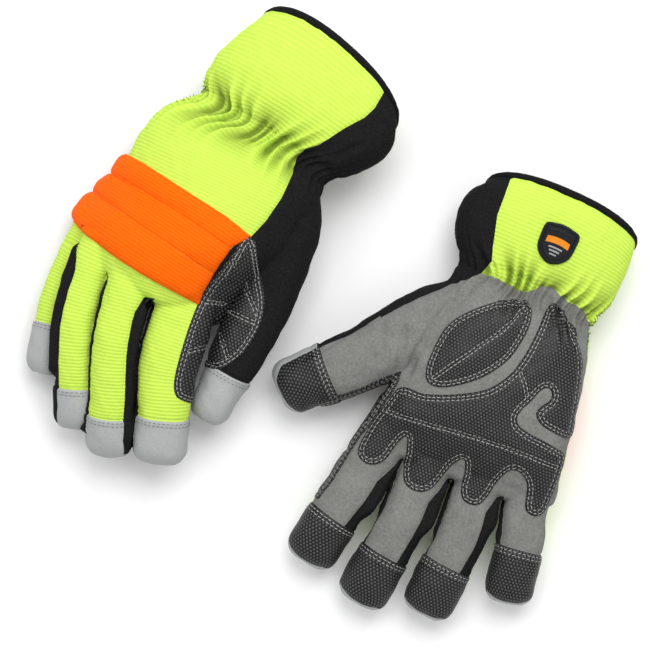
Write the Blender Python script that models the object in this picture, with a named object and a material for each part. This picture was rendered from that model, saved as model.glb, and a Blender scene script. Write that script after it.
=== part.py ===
"""A pair of padded winter work gloves, both right-hand, lying side by side on a table.

Row frame: X to the right, Y up the table, Z up from the table top, metres.  Each glove is laid out in its
own flat drawing frame in millimetres (+Y towards the cuff) and then turned and moved onto the table.
The hand is a tube of cross sections.  A place on it is (v, angle): v runs from the knuckles (0) up to the
cuff mouth (142), and the angle runs round from the thumb side (0) over the back (90), the little-finger
side (180) and the palm (270).  Panels are outlines in (angle, v) given a thickness.
"""

import math

import bpy
from mathutils import Matrix, Vector
from mathutils.geometry import delaunay_2d_cdt

MM = 0.001

# Layers, measured in mm from the outer face of the shell cloth.
SHELL_IN, SHELL_OUT = -1.3, 0.0
LINER_IN, LINER_OUT = -4.1, -2.7
PAD_IN, PAD_OUT = 1.2, 2.8
BADGE_OUT = 3.6
ROLL_IN, ROLL_VALLEY, ROLL_CREST = 3.0, 3.8, 6.0
DIGIT_IN = -2.3
BINDING_IN, BINDING_OUT = -4.2, 1.4

# Seams, mm.
SEAM_GAP = 0.5
CAP_LENGTH = 27.0
GRIP_LENGTH = 31.0
WRIST_V = 91.0
MOUTH_V = 142.0
BINDING_HEIGHT = 4.5
THUMB_HOLE_HALF_ANGLE = 52.0
BACK_EDGE = (55.5, 184.0)
GUSSET_EDGE = (-50.0, 54.0)
ROUNDNESS = 2.3
ANGLES = (0, 8, 20, 36, 54, 72, 90, 108, 126, 144, 160, 172,
          180, 188, 200, 216, 234, 252, 270, 288, 306, 324, 340, 352)

CENTRE = (5.85, 11.64)

YELLOW = (0.62, 1.0, 0.05)
ORANGE = (1.0, 0.16, 0.0)
BLACK = (0.012, 0.012, 0.013)
GREY = (0.2, 0.2, 0.19)
SILVER = (0.52, 0.53, 0.53)
RUBBER = (0.02, 0.02, 0.022)
LINER = (0.03, 0.03, 0.03)

# Rows: v, thumb edge x y, little-finger edge x y, where between them the crest lies (from the little finger),
# half thickness, mid height, roll slope, arch, sweep of the thumb side, bow of the mouth
BACK_UP_HAND = (
    (142, 84, 127, -8, 155, 0.5, 23, 33, 0.10, -0.0010, 0, 13),
    (131, 87, 117, -17, 141, 0.5, 26, 33, 0.10, -0.0010, 0, 9),
    (116, 84, 106, -22, 124, 0.5, 26, 33, 0.10, -0.0010, 0, 4),
    (103, 75, 95, -24, 110, 0.5, 23, 33, 0.11, -0.0015, 0, 1),
    (92, 62, 84, -21, 100, 0.5, 18, 33, 0.12, -0.0020, 0, 0),
    (80, 62.5, 76, -36, 86, 0.5, 20, 35, 0.12, -0.0025, 0, 0),
    (68, 66, 66, -44, 70, 0.5, 22, 37, 0.12, -0.0030, 0, 0),
    (45, 71, 44, -51, 46, 0.44, 22, 39, 0.18, -0.0045, 0, 0),
    (28, 74, 27, -56, 29, 0.38, 21, 39.5, 0.316, -0.0060, 0, 0),
    (12, 43, 10, -59, 13, 0.5, 19, 43, 0.21, -0.0095, 0, 0),
    (0, 42, -3, -60, 3, 0.5, 17, 42.5, 0.22, -0.0105, 0, 0),
    (-16, 41, -20, -60, -7, 0.5, 13, 42, 0.22, -0.0105, 0, 0),
)
PALM_UP_HAND = (
    (142, -50, 136, 41, 136, 0.5, 19, 23, 0, 0.0005, 0, 11),
    (131, -58, 126, 42, 126, 0.5, 22, 23, 0, 0.0005, 0, 8),
    (116, -58, 114, 41.5, 114, 0.5, 22, 23, 0, 0.0005, 0, 3),
    (103, -53, 101, 40, 101, 0.5, 20, 23, 0, 0.0005, 0, 1),
    (92, -46, 90, 35, 88, 0.5, 17, 23, 0, 0.0010, 0, 0),
    (80, -50, 80, 38, 79, 0.5, 19, 24, 0, 0.0010, 0, 0),
    (68, -60, 67, 42, 67, 0.48, 20, 25, 0, 0.0008, 3, 0),
    (45, -74, 45, 47, 45, 0.42, 21, 26, 0, 0.0006, 8, 0),
    (22, -81, 18, 51.5, 20, 0.4, 20, 25, 0, 0.0004, 26, 0),
    (18, -51.5, 15, 52.5, 17, 0.5, 19.5, 25, 0, 0.0010, 0, 0),
    (0, -54, -2, 56, 0, 0.5, 17, 23, 0, 0.0008, 0, 0),
    (-16, -57.5, -18, 59, -14, 0.5, 14, 20, 0, 0.0005, 0, 0),
)

# Each digit: roll in degrees, the tip, then rows x y z, half width, half thickness from the hinge outwards.
BACK_UP_DIGITS = {
    "index": (0, (40, -98, 24), ((21, -24, 38, 13.0, 11), (25, -46, 36, 12.5, 11), (31, -68, 32, 12.2, 10.5))),
    "middle": (13, (11, -105, 21), ((-14.5, -22, 40.5, 10.4, 10.4), (-8.5, -48, 38, 10.4, 10.4), (0.5, -76, 31, 10.2, 10))),
    "ring": (29, (-12, -99, 17), ((-36.5, -19, 31.5, 9.2, 9.6), (-31, -46, 30, 9.2, 9.6), (-22, -72, 24, 9.2, 9.4))),
    "little": (40, (-42.5, -79, 12), ((-51, -13, 12.5, 8.8, 9.2), (-50, -34, 12, 8.8, 9.2), (-47.5, -52, 12, 8.8, 9))),
    "thumb": (0, (53, -65, 20), ((57.5, 13, 25, 14.0, 13.5), (57, -8, 25, 13.8, 13.5), (56, -28, 24, 12.2, 12))),
}
PALM_UP_DIGITS = {
    "index": (0, (-57, -100, 15), ((-44, -30, 18, 12.6, 11.5), (-48, -52, 19, 12.4, 11.5), (-52, -70, 18.5, 12.2, 11))),
    "middle": (0, (-21, -110, 15), ((-15.5, -30, 18, 12.8, 11.5), (-17, -55, 19.5, 12.6, 11.5), (-18.5, -79, 19, 12.4, 11))),
    "ring": (0, (16, -101, 15), ((14.5, -29, 18, 12.6, 11.5), (15, -50, 19.5, 12.4, 11.5), (15.5, -70, 19, 12.2, 11))),
    "little": (0, (57, -76, 15), ((42.5, -23, 18, 11.8, 11), (46, -36, 18.5, 11.8, 11), (49, -46, 18, 11.6, 10.8))),
    "thumb": (0, (-109, -19, 17), ((-71, 21, 22, 16.0, 14.5), (-79, 12, 22, 15.6, 14.5), (-86, 5, 21, 15.2, 14))),
}

# The palm pads as drawn on the palm-up glove, x y in its drawing frame.
PALM_PAD = (
    (9, 87), (16, 87), (28, 79), (37, 68), (44, 50), (48, 36), (48, 23), (38, 23), (27, 26), (26, 29),
    (31, 37), (30, 42), (25, 44), (20, 40), (17, 28), (18, 19), (28, 15), (40, 14), (50, 12), (51, -4),
    (40, -7), (24, -8), (8, -8), (-10, -9), (-28, -9), (-46, -8), (-49, 4), (-36, 11), (-20, 17),
    (-5, 28), (4, 42), (8, 58),
)
THENAR_PAD = (
    (-3, 82), (2, 76), (2, 60), (-3, 44), (-12, 32), (-22, 23), (-32, 19), (-38, 24), (-39, 40),
    (-36, 54), (-28, 68), (-17, 78),
)
BADGE = ((-11.5, 127), (-2, 129), (7.5, 127), (7.5, 114), (4, 108.5), (-2, 106), (-8, 108.5), (-11.5, 114))

GLOVES = {
    "glove1": {"at": (-89.6, 32.5), "turn": -24.0, "lift": 3.3, "dorsal": 1.0, "hand": BACK_UP_HAND, "digits": BACK_UP_DIGITS,
               "back_end": -11.0, "thumb_hole": (12.0, 28.0), "palm_end": -1.0},
    "glove2": {"at": (81.2, -59.9), "turn": -24.0, "lift": -0.6, "dorsal": -1.0, "hand": PALM_UP_HAND, "digits": PALM_UP_DIGITS,
               "back_end": -12.0, "thumb_hole": (18.0, 22.0), "palm_end": -9.5},
}


def clear_scene():
    for obj in list(bpy.data.objects):
        bpy.data.objects.remove(obj, do_unlink=True)


def material(name, colour, roughness):
    made = bpy.data.materials.new(name)
    made.use_nodes = True
    shader = made.node_tree.nodes["Principled BSDF"]
    shader.inputs["Base Color"].default_value = (*colour, 1.0)
    shader.inputs["Roughness"].default_value = roughness
    made.diffuse_color = (*colour, 1.0)
    return made


def placed(glove, point):
    """Drawing frame in mm to row frame in metres."""
    turned = Matrix.Rotation(math.radians(glove["turn"]), 3, "Z") @ Vector(point)
    shift = Vector((glove["at"][0] - CENTRE[0], glove["at"][1] - CENTRE[1], glove["lift"]))
    return (turned + shift) * MM


def signed_power(value, power):
    return math.copysign(abs(value) ** power, value)


def section(glove, v):
    rows = glove["hand"]
    v = min(max(v, rows[-1][0]), rows[0][0])
    for upper, lower in zip(rows, rows[1:]):
        if v >= lower[0]:
            share = (v - lower[0]) / (upper[0] - lower[0])
            return [lo + share * (up - lo) for up, lo in zip(upper, lower)]
    return list(rows[-1])


def hand_point(glove, angle, v, offset):
    """The point of the hand tube at this angle and v, this far outside the shell cloth."""
    _, thumb_x, thumb_y, little_x, little_y, crest, thick, height, slope, arch, sweep, bow = section(glove, v)
    across = Vector((thumb_x - little_x, thumb_y - little_y))
    width = across.length
    across.normalize()
    cosine = math.cos(math.radians(angle))
    sine = math.sin(math.radians(angle))
    half = width * (1 - crest) if cosine > 0 else width * crest
    q = signed_power(cosine, 2 / ROUNDNESS) * (half + offset)
    up = signed_power(sine, 2 / ROUNDNESS) * (thick + offset)
    along = Vector((-across.y, across.x)) * (1 if across.x > 0 else -1)
    forward = sweep * max(0.0, q / half - 0.45) / 0.55 + bow * abs(sine)
    middle = Vector((little_x, little_y)) + across * width * crest
    flat = middle + across * q + along * forward
    return Vector((flat.x, flat.y, height + slope * q + arch * q * q + glove["dorsal"] * up))


def palm_place(x, y):
    """The (angle, v) under a point of the palm-up drawing, on its palm side."""
    low, high = -16.0, MOUTH_V
    glove = GLOVES["glove2"]
    for _ in range(40):
        v = (low + high) / 2
        row = section(glove, v)
        across = Vector((row[1] - row[3], row[2] - row[4]))
        width = across.length
        across.normalize()
        place = Vector((x, y)) - (Vector((row[3], row[4])) + across * width * row[5])
        q = place.dot(across)
        q = max(-0.98, min(0.98, q / (width * (1 - row[5]) if q > 0 else width * row[5])))
        sine = (1 - abs(q) ** ROUNDNESS) ** 0.5
        along = Vector((-across.y, across.x)) * (1 if across.x > 0 else -1)
        ahead = place.dot(along) - row[10] * max(0.0, q - 0.45) / 0.55 - row[11] * sine
        if ahead > 0:
            low = v
        else:
            high = v
    cosine = signed_power(q, ROUNDNESS / 2)
    return 360.0 - math.degrees(math.acos(max(-1.0, min(1.0, cosine)))), v


def solid(name, outer, inner, triangles, look):
    """Closes two matching skins into one body and adds it to the scene."""
    count = len(outer)
    edges = {}
    for tri in triangles:
        for a, b in zip(tri, (tri[1], tri[2], tri[0])):
            edges[(a, b)] = True
    rims = [(a, b) for a, b in edges if (b, a) not in edges]
    faces = [tuple(tri) for tri in triangles]
    faces += [(c + count, b + count, a + count) for a, b, c in triangles]
    for a, b in rims:
        faces += [(a, a + count, b + count), (a, b + count, b)]
    points = [p.copy() for p in outer + inner]
    volume = sum(points[a].dot(points[b].cross(points[c])) for a, b, c in faces)
    if volume < 0:
        faces = [(c, b, a) for a, b, c in faces]
    mesh = bpy.data.meshes.new(name)
    mesh.from_pydata(points, [], faces)
    mesh.materials.append(look)
    for face in mesh.polygons:
        face.use_smooth = True
    mesh.update()
    obj = bpy.data.objects.new(name, mesh)
    bpy.context.scene.collection.objects.link(obj)
    return obj


def lattice_angles(low, high):
    return [turn * 360.0 + angle for turn in (-1, 0, 1) for angle in ANGLES if low < turn * 360.0 + angle < high]


def lattice_rows(glove, low, high):
    return [row[0] for row in glove["hand"] if low < row[0] < high]


def dense(glove, outline):
    """The closed outline with its sides divided where they cross the common lattice of every panel."""
    points = []
    for (a0, v0), (a1, v1) in zip(outline, outline[1:] + outline[:1]):
        shares = [0.0]
        if abs(a1 - a0) > 1e-6:
            shares += [(a - a0) / (a1 - a0) for a in lattice_angles(min(a0, a1), max(a0, a1))]
        if abs(v1 - v0) > 1e-6:
            shares += [(v - v0) / (v1 - v0) for v in lattice_rows(glove, min(v0, v1), max(v0, v1))]
        length = math.hypot(a1 - a0, v1 - v0)
        last = None
        for share in sorted(shares):
            if (1.0 - share) * length > 1.5 and (last is None or (share - last) * length > 1.5):
                points.append((a0 + (a1 - a0) * share, v0 + (v1 - v0) * share))
                last = share
    return points


def inside(outline, a, v):
    odd = False
    for (a0, v0), (a1, v1) in zip(outline, outline[1:] + outline[:1]):
        if (v0 > v) != (v1 > v) and a < a0 + (v - v0) / (v1 - v0) * (a1 - a0):
            odd = not odd
    return odd


def clear_of(outline, a, v, reach):
    for (a0, v0), (a1, v1) in zip(outline, outline[1:] + outline[:1]):
        start = Vector((a0, v0))
        side = Vector((a1, v1)) - start
        share = max(0.0, min(1.0, (Vector((a, v)) - start).dot(side) / max(side.length_squared, 1e-9)))
        if (start + side * share - Vector((a, v))).length < reach:
            return False
    return True


def panel(name, glove, outline, lower, upper, look):
    """A panel of the hand: an outline in (angle, v) between two offsets from the shell cloth."""
    edge = dense(glove, list(outline))
    lattice = []
    for a in lattice_angles(min(a for a, _ in edge), max(a for a, _ in edge)):
        for v in lattice_rows(glove, min(v for _, v in edge), max(v for _, v in edge)):
            if inside(edge, a, v) and clear_of(edge, a, v, 2.0):
                lattice.append((a, v))
    flat = [Vector(p) for p in edge + lattice]
    found = delaunay_2d_cdt(flat, [], [list(range(len(edge)))], 1, 1e-5)
    places, triangles = found[0], [tuple(face) for face in found[2]]
    outer = [placed(glove, hand_point(glove, p.x, p.y, upper)) for p in places]
    inner = [placed(glove, hand_point(glove, p.x, p.y, lower)) for p in places]
    return solid(name, outer, inner, triangles, look)


def digit_rings(glove, digit, offset):
    """(centre, lateral, dorsal, half width, half thickness, distance to the tip) of each ring, root first."""
    roll, tip, rows = digit
    tip = Vector(tip)
    centres = [Vector(row[:3]) for row in rows]
    length = [(tip - centres[-1]).length]
    for a, b in zip(reversed(centres[:-1]), reversed(centres[1:])):
        length.append(length[-1] + (b - a).length)
    length.reverse()
    rings = []

    def frame(direction):
        dorsal = Vector((0, 0, glove["dorsal"]))
        dorsal = Matrix.Rotation(math.radians(roll), 3, direction) @ dorsal
        dorsal = (dorsal - direction * dorsal.dot(direction)).normalized()
        return dorsal.cross(direction), dorsal

    directions = [(b - a).normalized() for a, b in zip(centres, centres[1:] + [tip])]
    root = rows[0]
    lateral, dorsal = frame(directions[0])
    for turn in (48.0, 24.0):
        radius = root[4] + offset
        back = centres[0] - directions[0] * radius * math.sin(math.radians(turn))
        narrow = (root[3] + offset) * (1.0 - 0.0015 * turn)
        rings.append((back, lateral, dorsal, narrow, radius * math.cos(math.radians(turn)), length[0] + 20))
    for row, centre, direction, left in zip(rows, centres, directions, length):
        lateral, dorsal = frame(direction)
        rings.append((centre, lateral, dorsal, row[3] + offset, row[4] + offset, left))
    return rings, centres[-1], tip, rows[-1], frame((tip - centres[-1]).normalized())


def digit_skin(glove, digit, angles, start, end, offset):
    """Rings of points of one digit between two distances from its tip."""
    rings, last, tip, row, (lateral, dorsal) = digit_rings(glove, digit, offset)
    reach = (tip - last).length
    kept = [ring for ring in rings if ring[5] <= start + 1e-6 and ring[5] >= max(end, reach) - 1e-6]

    def along(distance):
        share = max(0.0, 1.0 - distance / reach)
        scale = max(0.14, (1.0 - max(0.0, share) ** 2.6) ** (1 / 2.3)) if share > 0 else 1.0
        centre = last + (tip - last) * share * (1.0 + offset / reach)
        return (centre, lateral, dorsal, (row[3] + offset) * scale, (row[4] + offset) * scale, distance)

    def between(distance):
        for a, b in zip(rings[2:], rings[3:]):
            if b[5] <= distance <= a[5]:
                share = (distance - b[5]) / (a[5] - b[5])
                return (*(q + (p - q) * share for p, q in zip(a[:5], b[:5])), distance)
        return along(distance)

    if start < 1e3:
        kept = [ring for ring in kept if ring[5] < start - 2.0]
        kept.insert(0, between(start))
    if end > 0.5:
        kept = [ring for ring in kept if ring[5] > end + 2.0]
        kept.append(between(end))
    else:
        kept = [ring for ring in kept if ring[5] > reach - 1e-6 or ring[5] == start]
        kept += [along(reach * s) for s in (0.62, 0.34, 0.14, 0.0) if reach * s < start - 2.0]
    points = []
    for centre, side, up, wide, thick, _ in kept:
        for angle in angles:
            cosine = signed_power(math.cos(math.radians(angle)), 2 / 2.25)
            sine = signed_power(math.sin(math.radians(angle)), 2 / 2.25)
            points.append(placed(glove, centre + side * cosine * wide + up * sine * thick))
    return points, len(kept)


def digit_piece(name, glove, digit, first, last, start, end, look):
    angles = [first + (last - first) * i / 6 for i in range(7)]
    outer, rings = digit_skin(glove, digit, angles, start, end, 0.0)
    inner, _ = digit_skin(glove, digit, angles, start, end, DIGIT_IN)
    triangles = []
    for ring in range(rings - 1):
        for step in range(6):
            a = ring * 7 + step
            triangles += [(a, a + 1, a + 8), (a, a + 8, a + 7)]
    return solid(name, outer, inner, triangles, look)


def knuckle_roll(angle, v):
    """Height of the padded band: three rounded rolls side by side."""
    low, high = band_edges(angle)
    share = min(1.0, max(0.0, (v - low) / (high - low)))
    return ROLL_VALLEY + (ROLL_CREST - ROLL_VALLEY) * abs(math.sin(3 * math.pi * share)) ** 0.6


def band_edges(angle):
    share = (angle - BACK_EDGE[0]) / (BACK_EDGE[1] - BACK_EDGE[0])
    return -2.0 + 12.0 * share, 39.0 + 14.0 * share


def knuckle_pad(name, glove, look):
    """A grid so that each roll gets its own crest and valleys."""
    angles = [angle for angle in ANGLES if 50 < angle < 175] + [179]
    count = len(angles)
    shares = [i / 12 for i in range(13)]
    outer, inner = [], []
    for share in shares:
        for angle in angles:
            low, high = band_edges(angle)
            v = low + (high - low) * share
            top = hand_point(glove, angle, v, knuckle_roll(angle, v))
            if glove["dorsal"] < 0:
                top.z = max(top.z, -glove["lift"])
            outer.append(placed(glove, top))
            inner.append(placed(glove, hand_point(glove, angle, v, ROLL_IN)))
    triangles = []
    for row in range(12):
        for step in range(count - 1):
            a = row * count + step
            triangles += [(a, a + 1, a + count + 1), (a, a + count + 1, a + count)]
    return solid(name, outer, inner, triangles, look)


def binding(name, glove, look):
    """The bound edge: a closed ring folded over the cuff mouth."""
    steps = 24
    ring = []
    for i in range(steps):
        angle = 360.0 * i / steps
        for v, offset in ((MOUTH_V - 0.01, BINDING_OUT), (MOUTH_V - 0.01, BINDING_IN)):
            base = hand_point(glove, angle, v, offset)
            lower = hand_point(glove, angle, v - BINDING_HEIGHT, offset)
            away = (base - lower).normalized()
            ring += [base + away * 0.5, base + away * (0.5 + BINDING_HEIGHT)]
    points = [placed(glove, p) for p in ring]
    faces = []
    for i in range(steps):
        a, b = i * 4, (i + 1) % steps * 4
        for p, q in ((0, 1), (1, 3), (3, 2), (2, 0)):
            faces += [(a + p, a + q, b + q), (a + p, b + q, b + p)]
    volume = sum(points[a].dot(points[b].cross(points[c])) for a, b, c in faces)
    if volume < 0:
        faces = [(c, b, a) for a, b, c in faces]
    mesh = bpy.data.meshes.new(name)
    mesh.from_pydata(points, [], faces)
    mesh.materials.append(look)
    for face in mesh.polygons:
        face.use_smooth = True
    obj = bpy.data.objects.new(name, mesh)
    bpy.context.scene.collection.objects.link(obj)


def build_glove(prefix, glove):
    def look(part, colour, roughness=0.85):
        return material(f"{prefix}_{part}", colour, roughness)

    gap = 0.6
    hole_low, hole_high = glove["thumb_hole"]
    hole = THUMB_HOLE_HALF_ANGLE
    back_low, back_high = BACK_EDGE
    back_end, palm_end = glove["back_end"], glove["palm_end"]
    palm_low = back_high + 1.6
    palm_high = 360.0 + GUSSET_EDGE[0] - 1.5
    cuff_low = GUSSET_EDGE[1] + 1.5
    panel(f"{prefix}_cuff", glove,
          ((cuff_low, WRIST_V + gap), (palm_high, WRIST_V + gap), (palm_high, MOUTH_V), (cuff_low, MOUTH_V)),
          SHELL_IN, SHELL_OUT, look("cuff", YELLOW))
    binding(f"{prefix}_cuff_binding", glove, look("cuff_binding", BLACK))
    panel(f"{prefix}_side_gusset", glove,
          ((GUSSET_EDGE[0], MOUTH_V), (GUSSET_EDGE[0], hole_high), (GUSSET_EDGE[1], hole_high),
           (GUSSET_EDGE[1], MOUTH_V)), SHELL_IN, SHELL_OUT, look("side_gusset", BLACK, 0.95))
    panel(f"{prefix}_back_panel", glove,
          ((back_low, back_end), (back_high, back_end), (back_high, WRIST_V), (back_low, WRIST_V)),
          SHELL_IN, SHELL_OUT, look("back_panel", YELLOW))
    panel(f"{prefix}_palm_panel", glove,
          ((palm_low, palm_end), (360 + back_low - gap, palm_end), (360 + back_low - gap, hole_low - 1),
           (palm_high, hole_low - 1), (palm_high, WRIST_V), (palm_low, WRIST_V)),
          SHELL_IN, SHELL_OUT, look("palm_panel", GREY, 0.95))
    panel(f"{prefix}_hand_liner", glove,
          ((8, MOUTH_V), (8, hole_high + 4), (100, hole_high + 4), (100, hole_low - 4), (8, hole_low - 4),
           (8, palm_end), (352, palm_end),
           (352, hole_low - 1), (360 - hole, hole_low - 1), (360 - hole, hole_high + 1), (352, hole_high + 1),
           (352, MOUTH_V)),
          LINER_IN, LINER_OUT, look("hand_liner", LINER, 0.95))
    knuckle_pad(f"{prefix}_knuckle_pad", glove, look("knuckle_pad", ORANGE))
    for part, outline, top in (("palm_pad", PALM_PAD, PAD_OUT), ("thenar_pad", THENAR_PAD, PAD_OUT),
                               ("badge", BADGE, BADGE_OUT)):
        places = [palm_place(x, y) for x, y in outline]
        panel(f"{prefix}_{part}", glove, places, PAD_IN, top, look(part, RUBBER, 0.6))
    for finger, digit in glove["digits"].items():
        back = BLACK if finger == "thumb" else YELLOW
        name = f"{prefix}_{finger}"
        gap_angle = 3.0
        half = SEAM_GAP / 2
        digit_piece(f"{name}_back", glove, digit, gap_angle, 180 - gap_angle, 1e4, CAP_LENGTH + half,
                    look(f"{finger}_back", back))
        digit_piece(f"{name}_front", glove, digit, 180 + gap_angle, 360 - gap_angle, 1e4, GRIP_LENGTH + half,
                    look(f"{finger}_front", GREY, 0.95))
        digit_piece(f"{name}_tip_cap", glove, digit, gap_angle, 180 - gap_angle, CAP_LENGTH - half, 0.0,
                    look(f"{finger}_tip_cap", SILVER, 0.5))
        digit_piece(f"{name}_tip_grip", glove, digit, 180 + gap_angle, 360 - gap_angle, GRIP_LENGTH - half, 0.0,
                    look(f"{finger}_tip_grip", RUBBER, 0.6))


clear_scene()
for glove_prefix, glove_data in GLOVES.items():
    build_glove(glove_prefix, glove_data)
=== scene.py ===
"""The looks of a pair of padded winter work gloves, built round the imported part.

Each glove is laid out in its own flat drawing frame in millimetres (+Y towards the cuff), as in the part's
source, and then turned onto the table.  A smooth body is grown from a hand tube and five digit tubes.  Its
skin is then cut into the sewn panels, and the pads, stitches, binding and badge are laid on it.
"""

import math

import bmesh
import bpy
import numpy as np
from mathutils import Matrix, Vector


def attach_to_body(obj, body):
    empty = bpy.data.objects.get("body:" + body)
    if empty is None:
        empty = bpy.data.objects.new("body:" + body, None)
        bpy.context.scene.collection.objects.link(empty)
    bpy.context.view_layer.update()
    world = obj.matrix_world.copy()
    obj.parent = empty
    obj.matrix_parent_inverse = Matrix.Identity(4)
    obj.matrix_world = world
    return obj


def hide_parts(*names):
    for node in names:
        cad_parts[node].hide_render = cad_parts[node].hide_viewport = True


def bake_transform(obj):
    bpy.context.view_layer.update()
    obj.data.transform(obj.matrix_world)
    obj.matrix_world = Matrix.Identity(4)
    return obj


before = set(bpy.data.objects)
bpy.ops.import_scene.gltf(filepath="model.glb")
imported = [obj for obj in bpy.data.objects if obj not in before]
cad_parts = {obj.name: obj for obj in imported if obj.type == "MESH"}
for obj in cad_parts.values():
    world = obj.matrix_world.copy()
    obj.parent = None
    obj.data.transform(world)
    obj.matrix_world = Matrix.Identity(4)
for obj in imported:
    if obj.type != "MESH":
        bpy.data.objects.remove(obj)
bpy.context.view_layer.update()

MM = 0.001
CENTRE = (5.85, 11.64)  # the middle of the layout in the drawing, as in the part
VOXEL = 1.0
SMOOTHING_ROUNDS = 12
HAND_ROUNDNESS = 2.35  # exponents of the sections: 2 is an ellipse, more is boxier
DIGIT_ROUNDNESS = 2.2
TIP_LENGTH = 11.0  # how much of a digit rounds off to its tip
TIP_TAPER = 20.0  # how much of it also gets thinner
MOUTH_V = 144.0  # where the cuff ends, along the hand tube
WRIST_V = 92.0  # where the wrist elastic runs
RIB = 1.9
LOOP = 1.3  # width of one knitted loop
CLOTH_UNIT = 100.0  # mm of cloth to one unit of the UV map and of the "rest" attribute
STITCH_ROWS = (1.5, 3.3)  # how far the double stitching is from a pad's edge
CAP_STITCH_ROWS = (1.3, 3.0)
STRIP_END = 4.5  # how far from the tip the black side strips end
STRIP_TAPERS = (16.0, 30.0)  # over what length they widen from the slit, on the back and on the palm
MM_PER_DEGREE = 0.21  # round a finger
DIGITS = ("index", "middle", "ring", "little", "thumb")

# ---------------------------------------------------------------- drawing of each glove, mm

# v, thumb edge x y, little edge x y, half thickness, mid height, roll slope, arch, bow
BACK_UP_HAND = (
    (156, 80, 137, -3, 167, 21, 33, 0.10, -0.0010, 14),
    (142, 84, 126, -8, 155, 23, 33, 0.10, -0.0010, 14),
    (131, 87, 116, -16, 141, 26, 33, 0.10, -0.0010, 10),
    (116, 84, 105, -23, 124, 26, 33, 0.10, -0.0010, 4),
    (103, 74, 94, -24, 110, 22, 33, 0.11, -0.0015, 1),
    (92, 62, 84, -21, 100, 17, 33, 0.12, -0.0020, 0),
    (80, 62, 76, -37, 87, 20, 35, 0.12, -0.0025, 0),
    (68, 63, 66, -44, 71, 22, 37, 0.12, -0.0030, 0),
    (45, 60, 44, -47.5, 46, 22, 39.4, 0.155, -0.0045, 0),
    (28, 52, 27, -54, 29, 21, 40.8, 0.26, -0.0060, 0),
    (12, 43, 10, -59.6, 13, 19, 43, 0.21, -0.0090, 0),
    (0, 40, -4, -60.6, 2, 17, 42.5, 0.22, -0.0105, 0),
    (-8, 38, -13, -60, -5, 13, 42, 0.22, -0.0105, 0),
)
PALM_UP_HAND = (
    (156, -46, 149, 37, 149, 17, 23, 0, 0.0005, 11),
    (142, -50, 136, 40.5, 136, 19, 23, 0, 0.0005, 11),
    (131, -57, 126, 42, 126, 22, 23, 0, 0.0005, 9),
    (116, -58.5, 114, 42, 114, 22, 23, 0, 0.0005, 3),
    (103, -54, 101, 40.5, 101, 20, 23, 0, 0.0005, 1),
    (92, -46, 90, 35, 88, 16, 23, 0, 0.0010, 0),
    (80, -47, 80, 37, 79, 19, 24, 0, 0.0008, 0),
    (68, -49, 67, 42, 67, 21, 25, 0, 0.0006, 0),
    (45, -50, 45, 47, 45, 21, 26, 0, 0.0006, 0),
    (22, -51.5, 20, 51.5, 20, 20, 25, 0, 0.0006, 0),
    (0, -54, -2, 55, 0, 17, 23, 0, 0.0006, 0),
    (-12, -56, -14, 57.5, -11, 14, 20.5, 0, 0.0005, 0),
    (-17, -57, -19, 58, -15, 11, 20, 0, 0.0005, 0),
)

# Each digit: roll, tip, and rows x y z, half width, half thickness, starting inside the hand.
BACK_UP_DIGITS = {
    "index": (0, (39.5, -98, 24), ((16, 6, 39, 16, 12), (19.5, -22, 38.5, 16.8, 12), (22.6, -46, 36, 16.4, 12),
                                   (30.3, -69, 32, 14.8, 11.5))),
    "middle": (-8, (12.3, -105.5, 21), ((-17, 6, 41, 12, 12), (-13, -22, 40.5, 12.4, 12),
                                        (-8.2, -47, 38, 12.4, 12), (2.4, -77, 31, 12.5, 11.5))),
    "ring": (-22, (-11.6, -99.5, 17), ((-39, 6, 33, 11, 11), (-37, -19, 31.5, 11.2, 11),
                                       (-32.6, -46, 30, 11.3, 11), (-22, -74, 24, 11.5, 10.5))),
    "little": (-34, (-41.5, -79.5, 12), ((-46, 15, 21, 8.5, 10), (-49, 0, 16.5, 10, 10.5),
                                         (-50, -13, 13.5, 10.4, 10.6), (-49.5, -34, 13, 10.4, 10.6),
                                         (-46.5, -53, 12.5, 10.2, 10.2))),
    "thumb": (0, (53, -66, 20), ((36, 74, 34, 22, 15), (47, 54, 31, 23, 17), (53.5, 33, 28, 19.5, 17),
                                 (57.3, 13, 25, 16, 15), (56.6, -8, 25, 15.6, 14.5), (55.5, -28, 24, 14.2, 13),
                                 (54.0, -47, 22, 11.4, 11.5))),
}
PALM_UP_DIGITS = {
    "index": (0, (-56.5, -101, 15), ((-41, 2, 21, 13, 13), (-45, -30, 18, 14.8, 12.2), (-48, -52, 19, 15.1, 12.2),
                                     (-53, -74, 18.5, 14.6, 11.8))),
    "middle": (0, (-20.5, -110, 15), ((-14, 2, 21, 13, 13), (-15.3, -30, 18, 14.2, 12.2),
                                      (-15.1, -55, 19.5, 14.5, 12.2), (-17.8, -80, 19, 14.3, 11.8))),
    "ring": (0, (16.2, -101, 15), ((14, 2, 21, 13, 13), (15.8, -29, 18, 14.0, 12.2),
                                   (18.2, -50, 19.5, 14.7, 12.2), (16.8, -73, 19, 14.3, 11.8))),
    "little": (0, (56.5, -76, 15), ((40.5, 2, 20, 13, 12), (44.5, -23, 18, 12.6, 11.6),
                                    (49.5, -38, 18.5, 12.7, 11.6), (52.2, -54, 18, 13.4, 11.4))),
    "thumb": (0, (-109, -19.5, 17), ((-20, 68, 24, 22, 15), (-42, 51, 24, 24, 18), (-58, 36, 23, 20.5, 17),
                                     (-71, 21, 22, 17.8, 15.5), (-79, 12, 22, 17.4, 15), (-88, 3, 21, 16.8, 14.5),
                                     (-97, -6, 19, 15.6, 13.5))),
}

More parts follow.
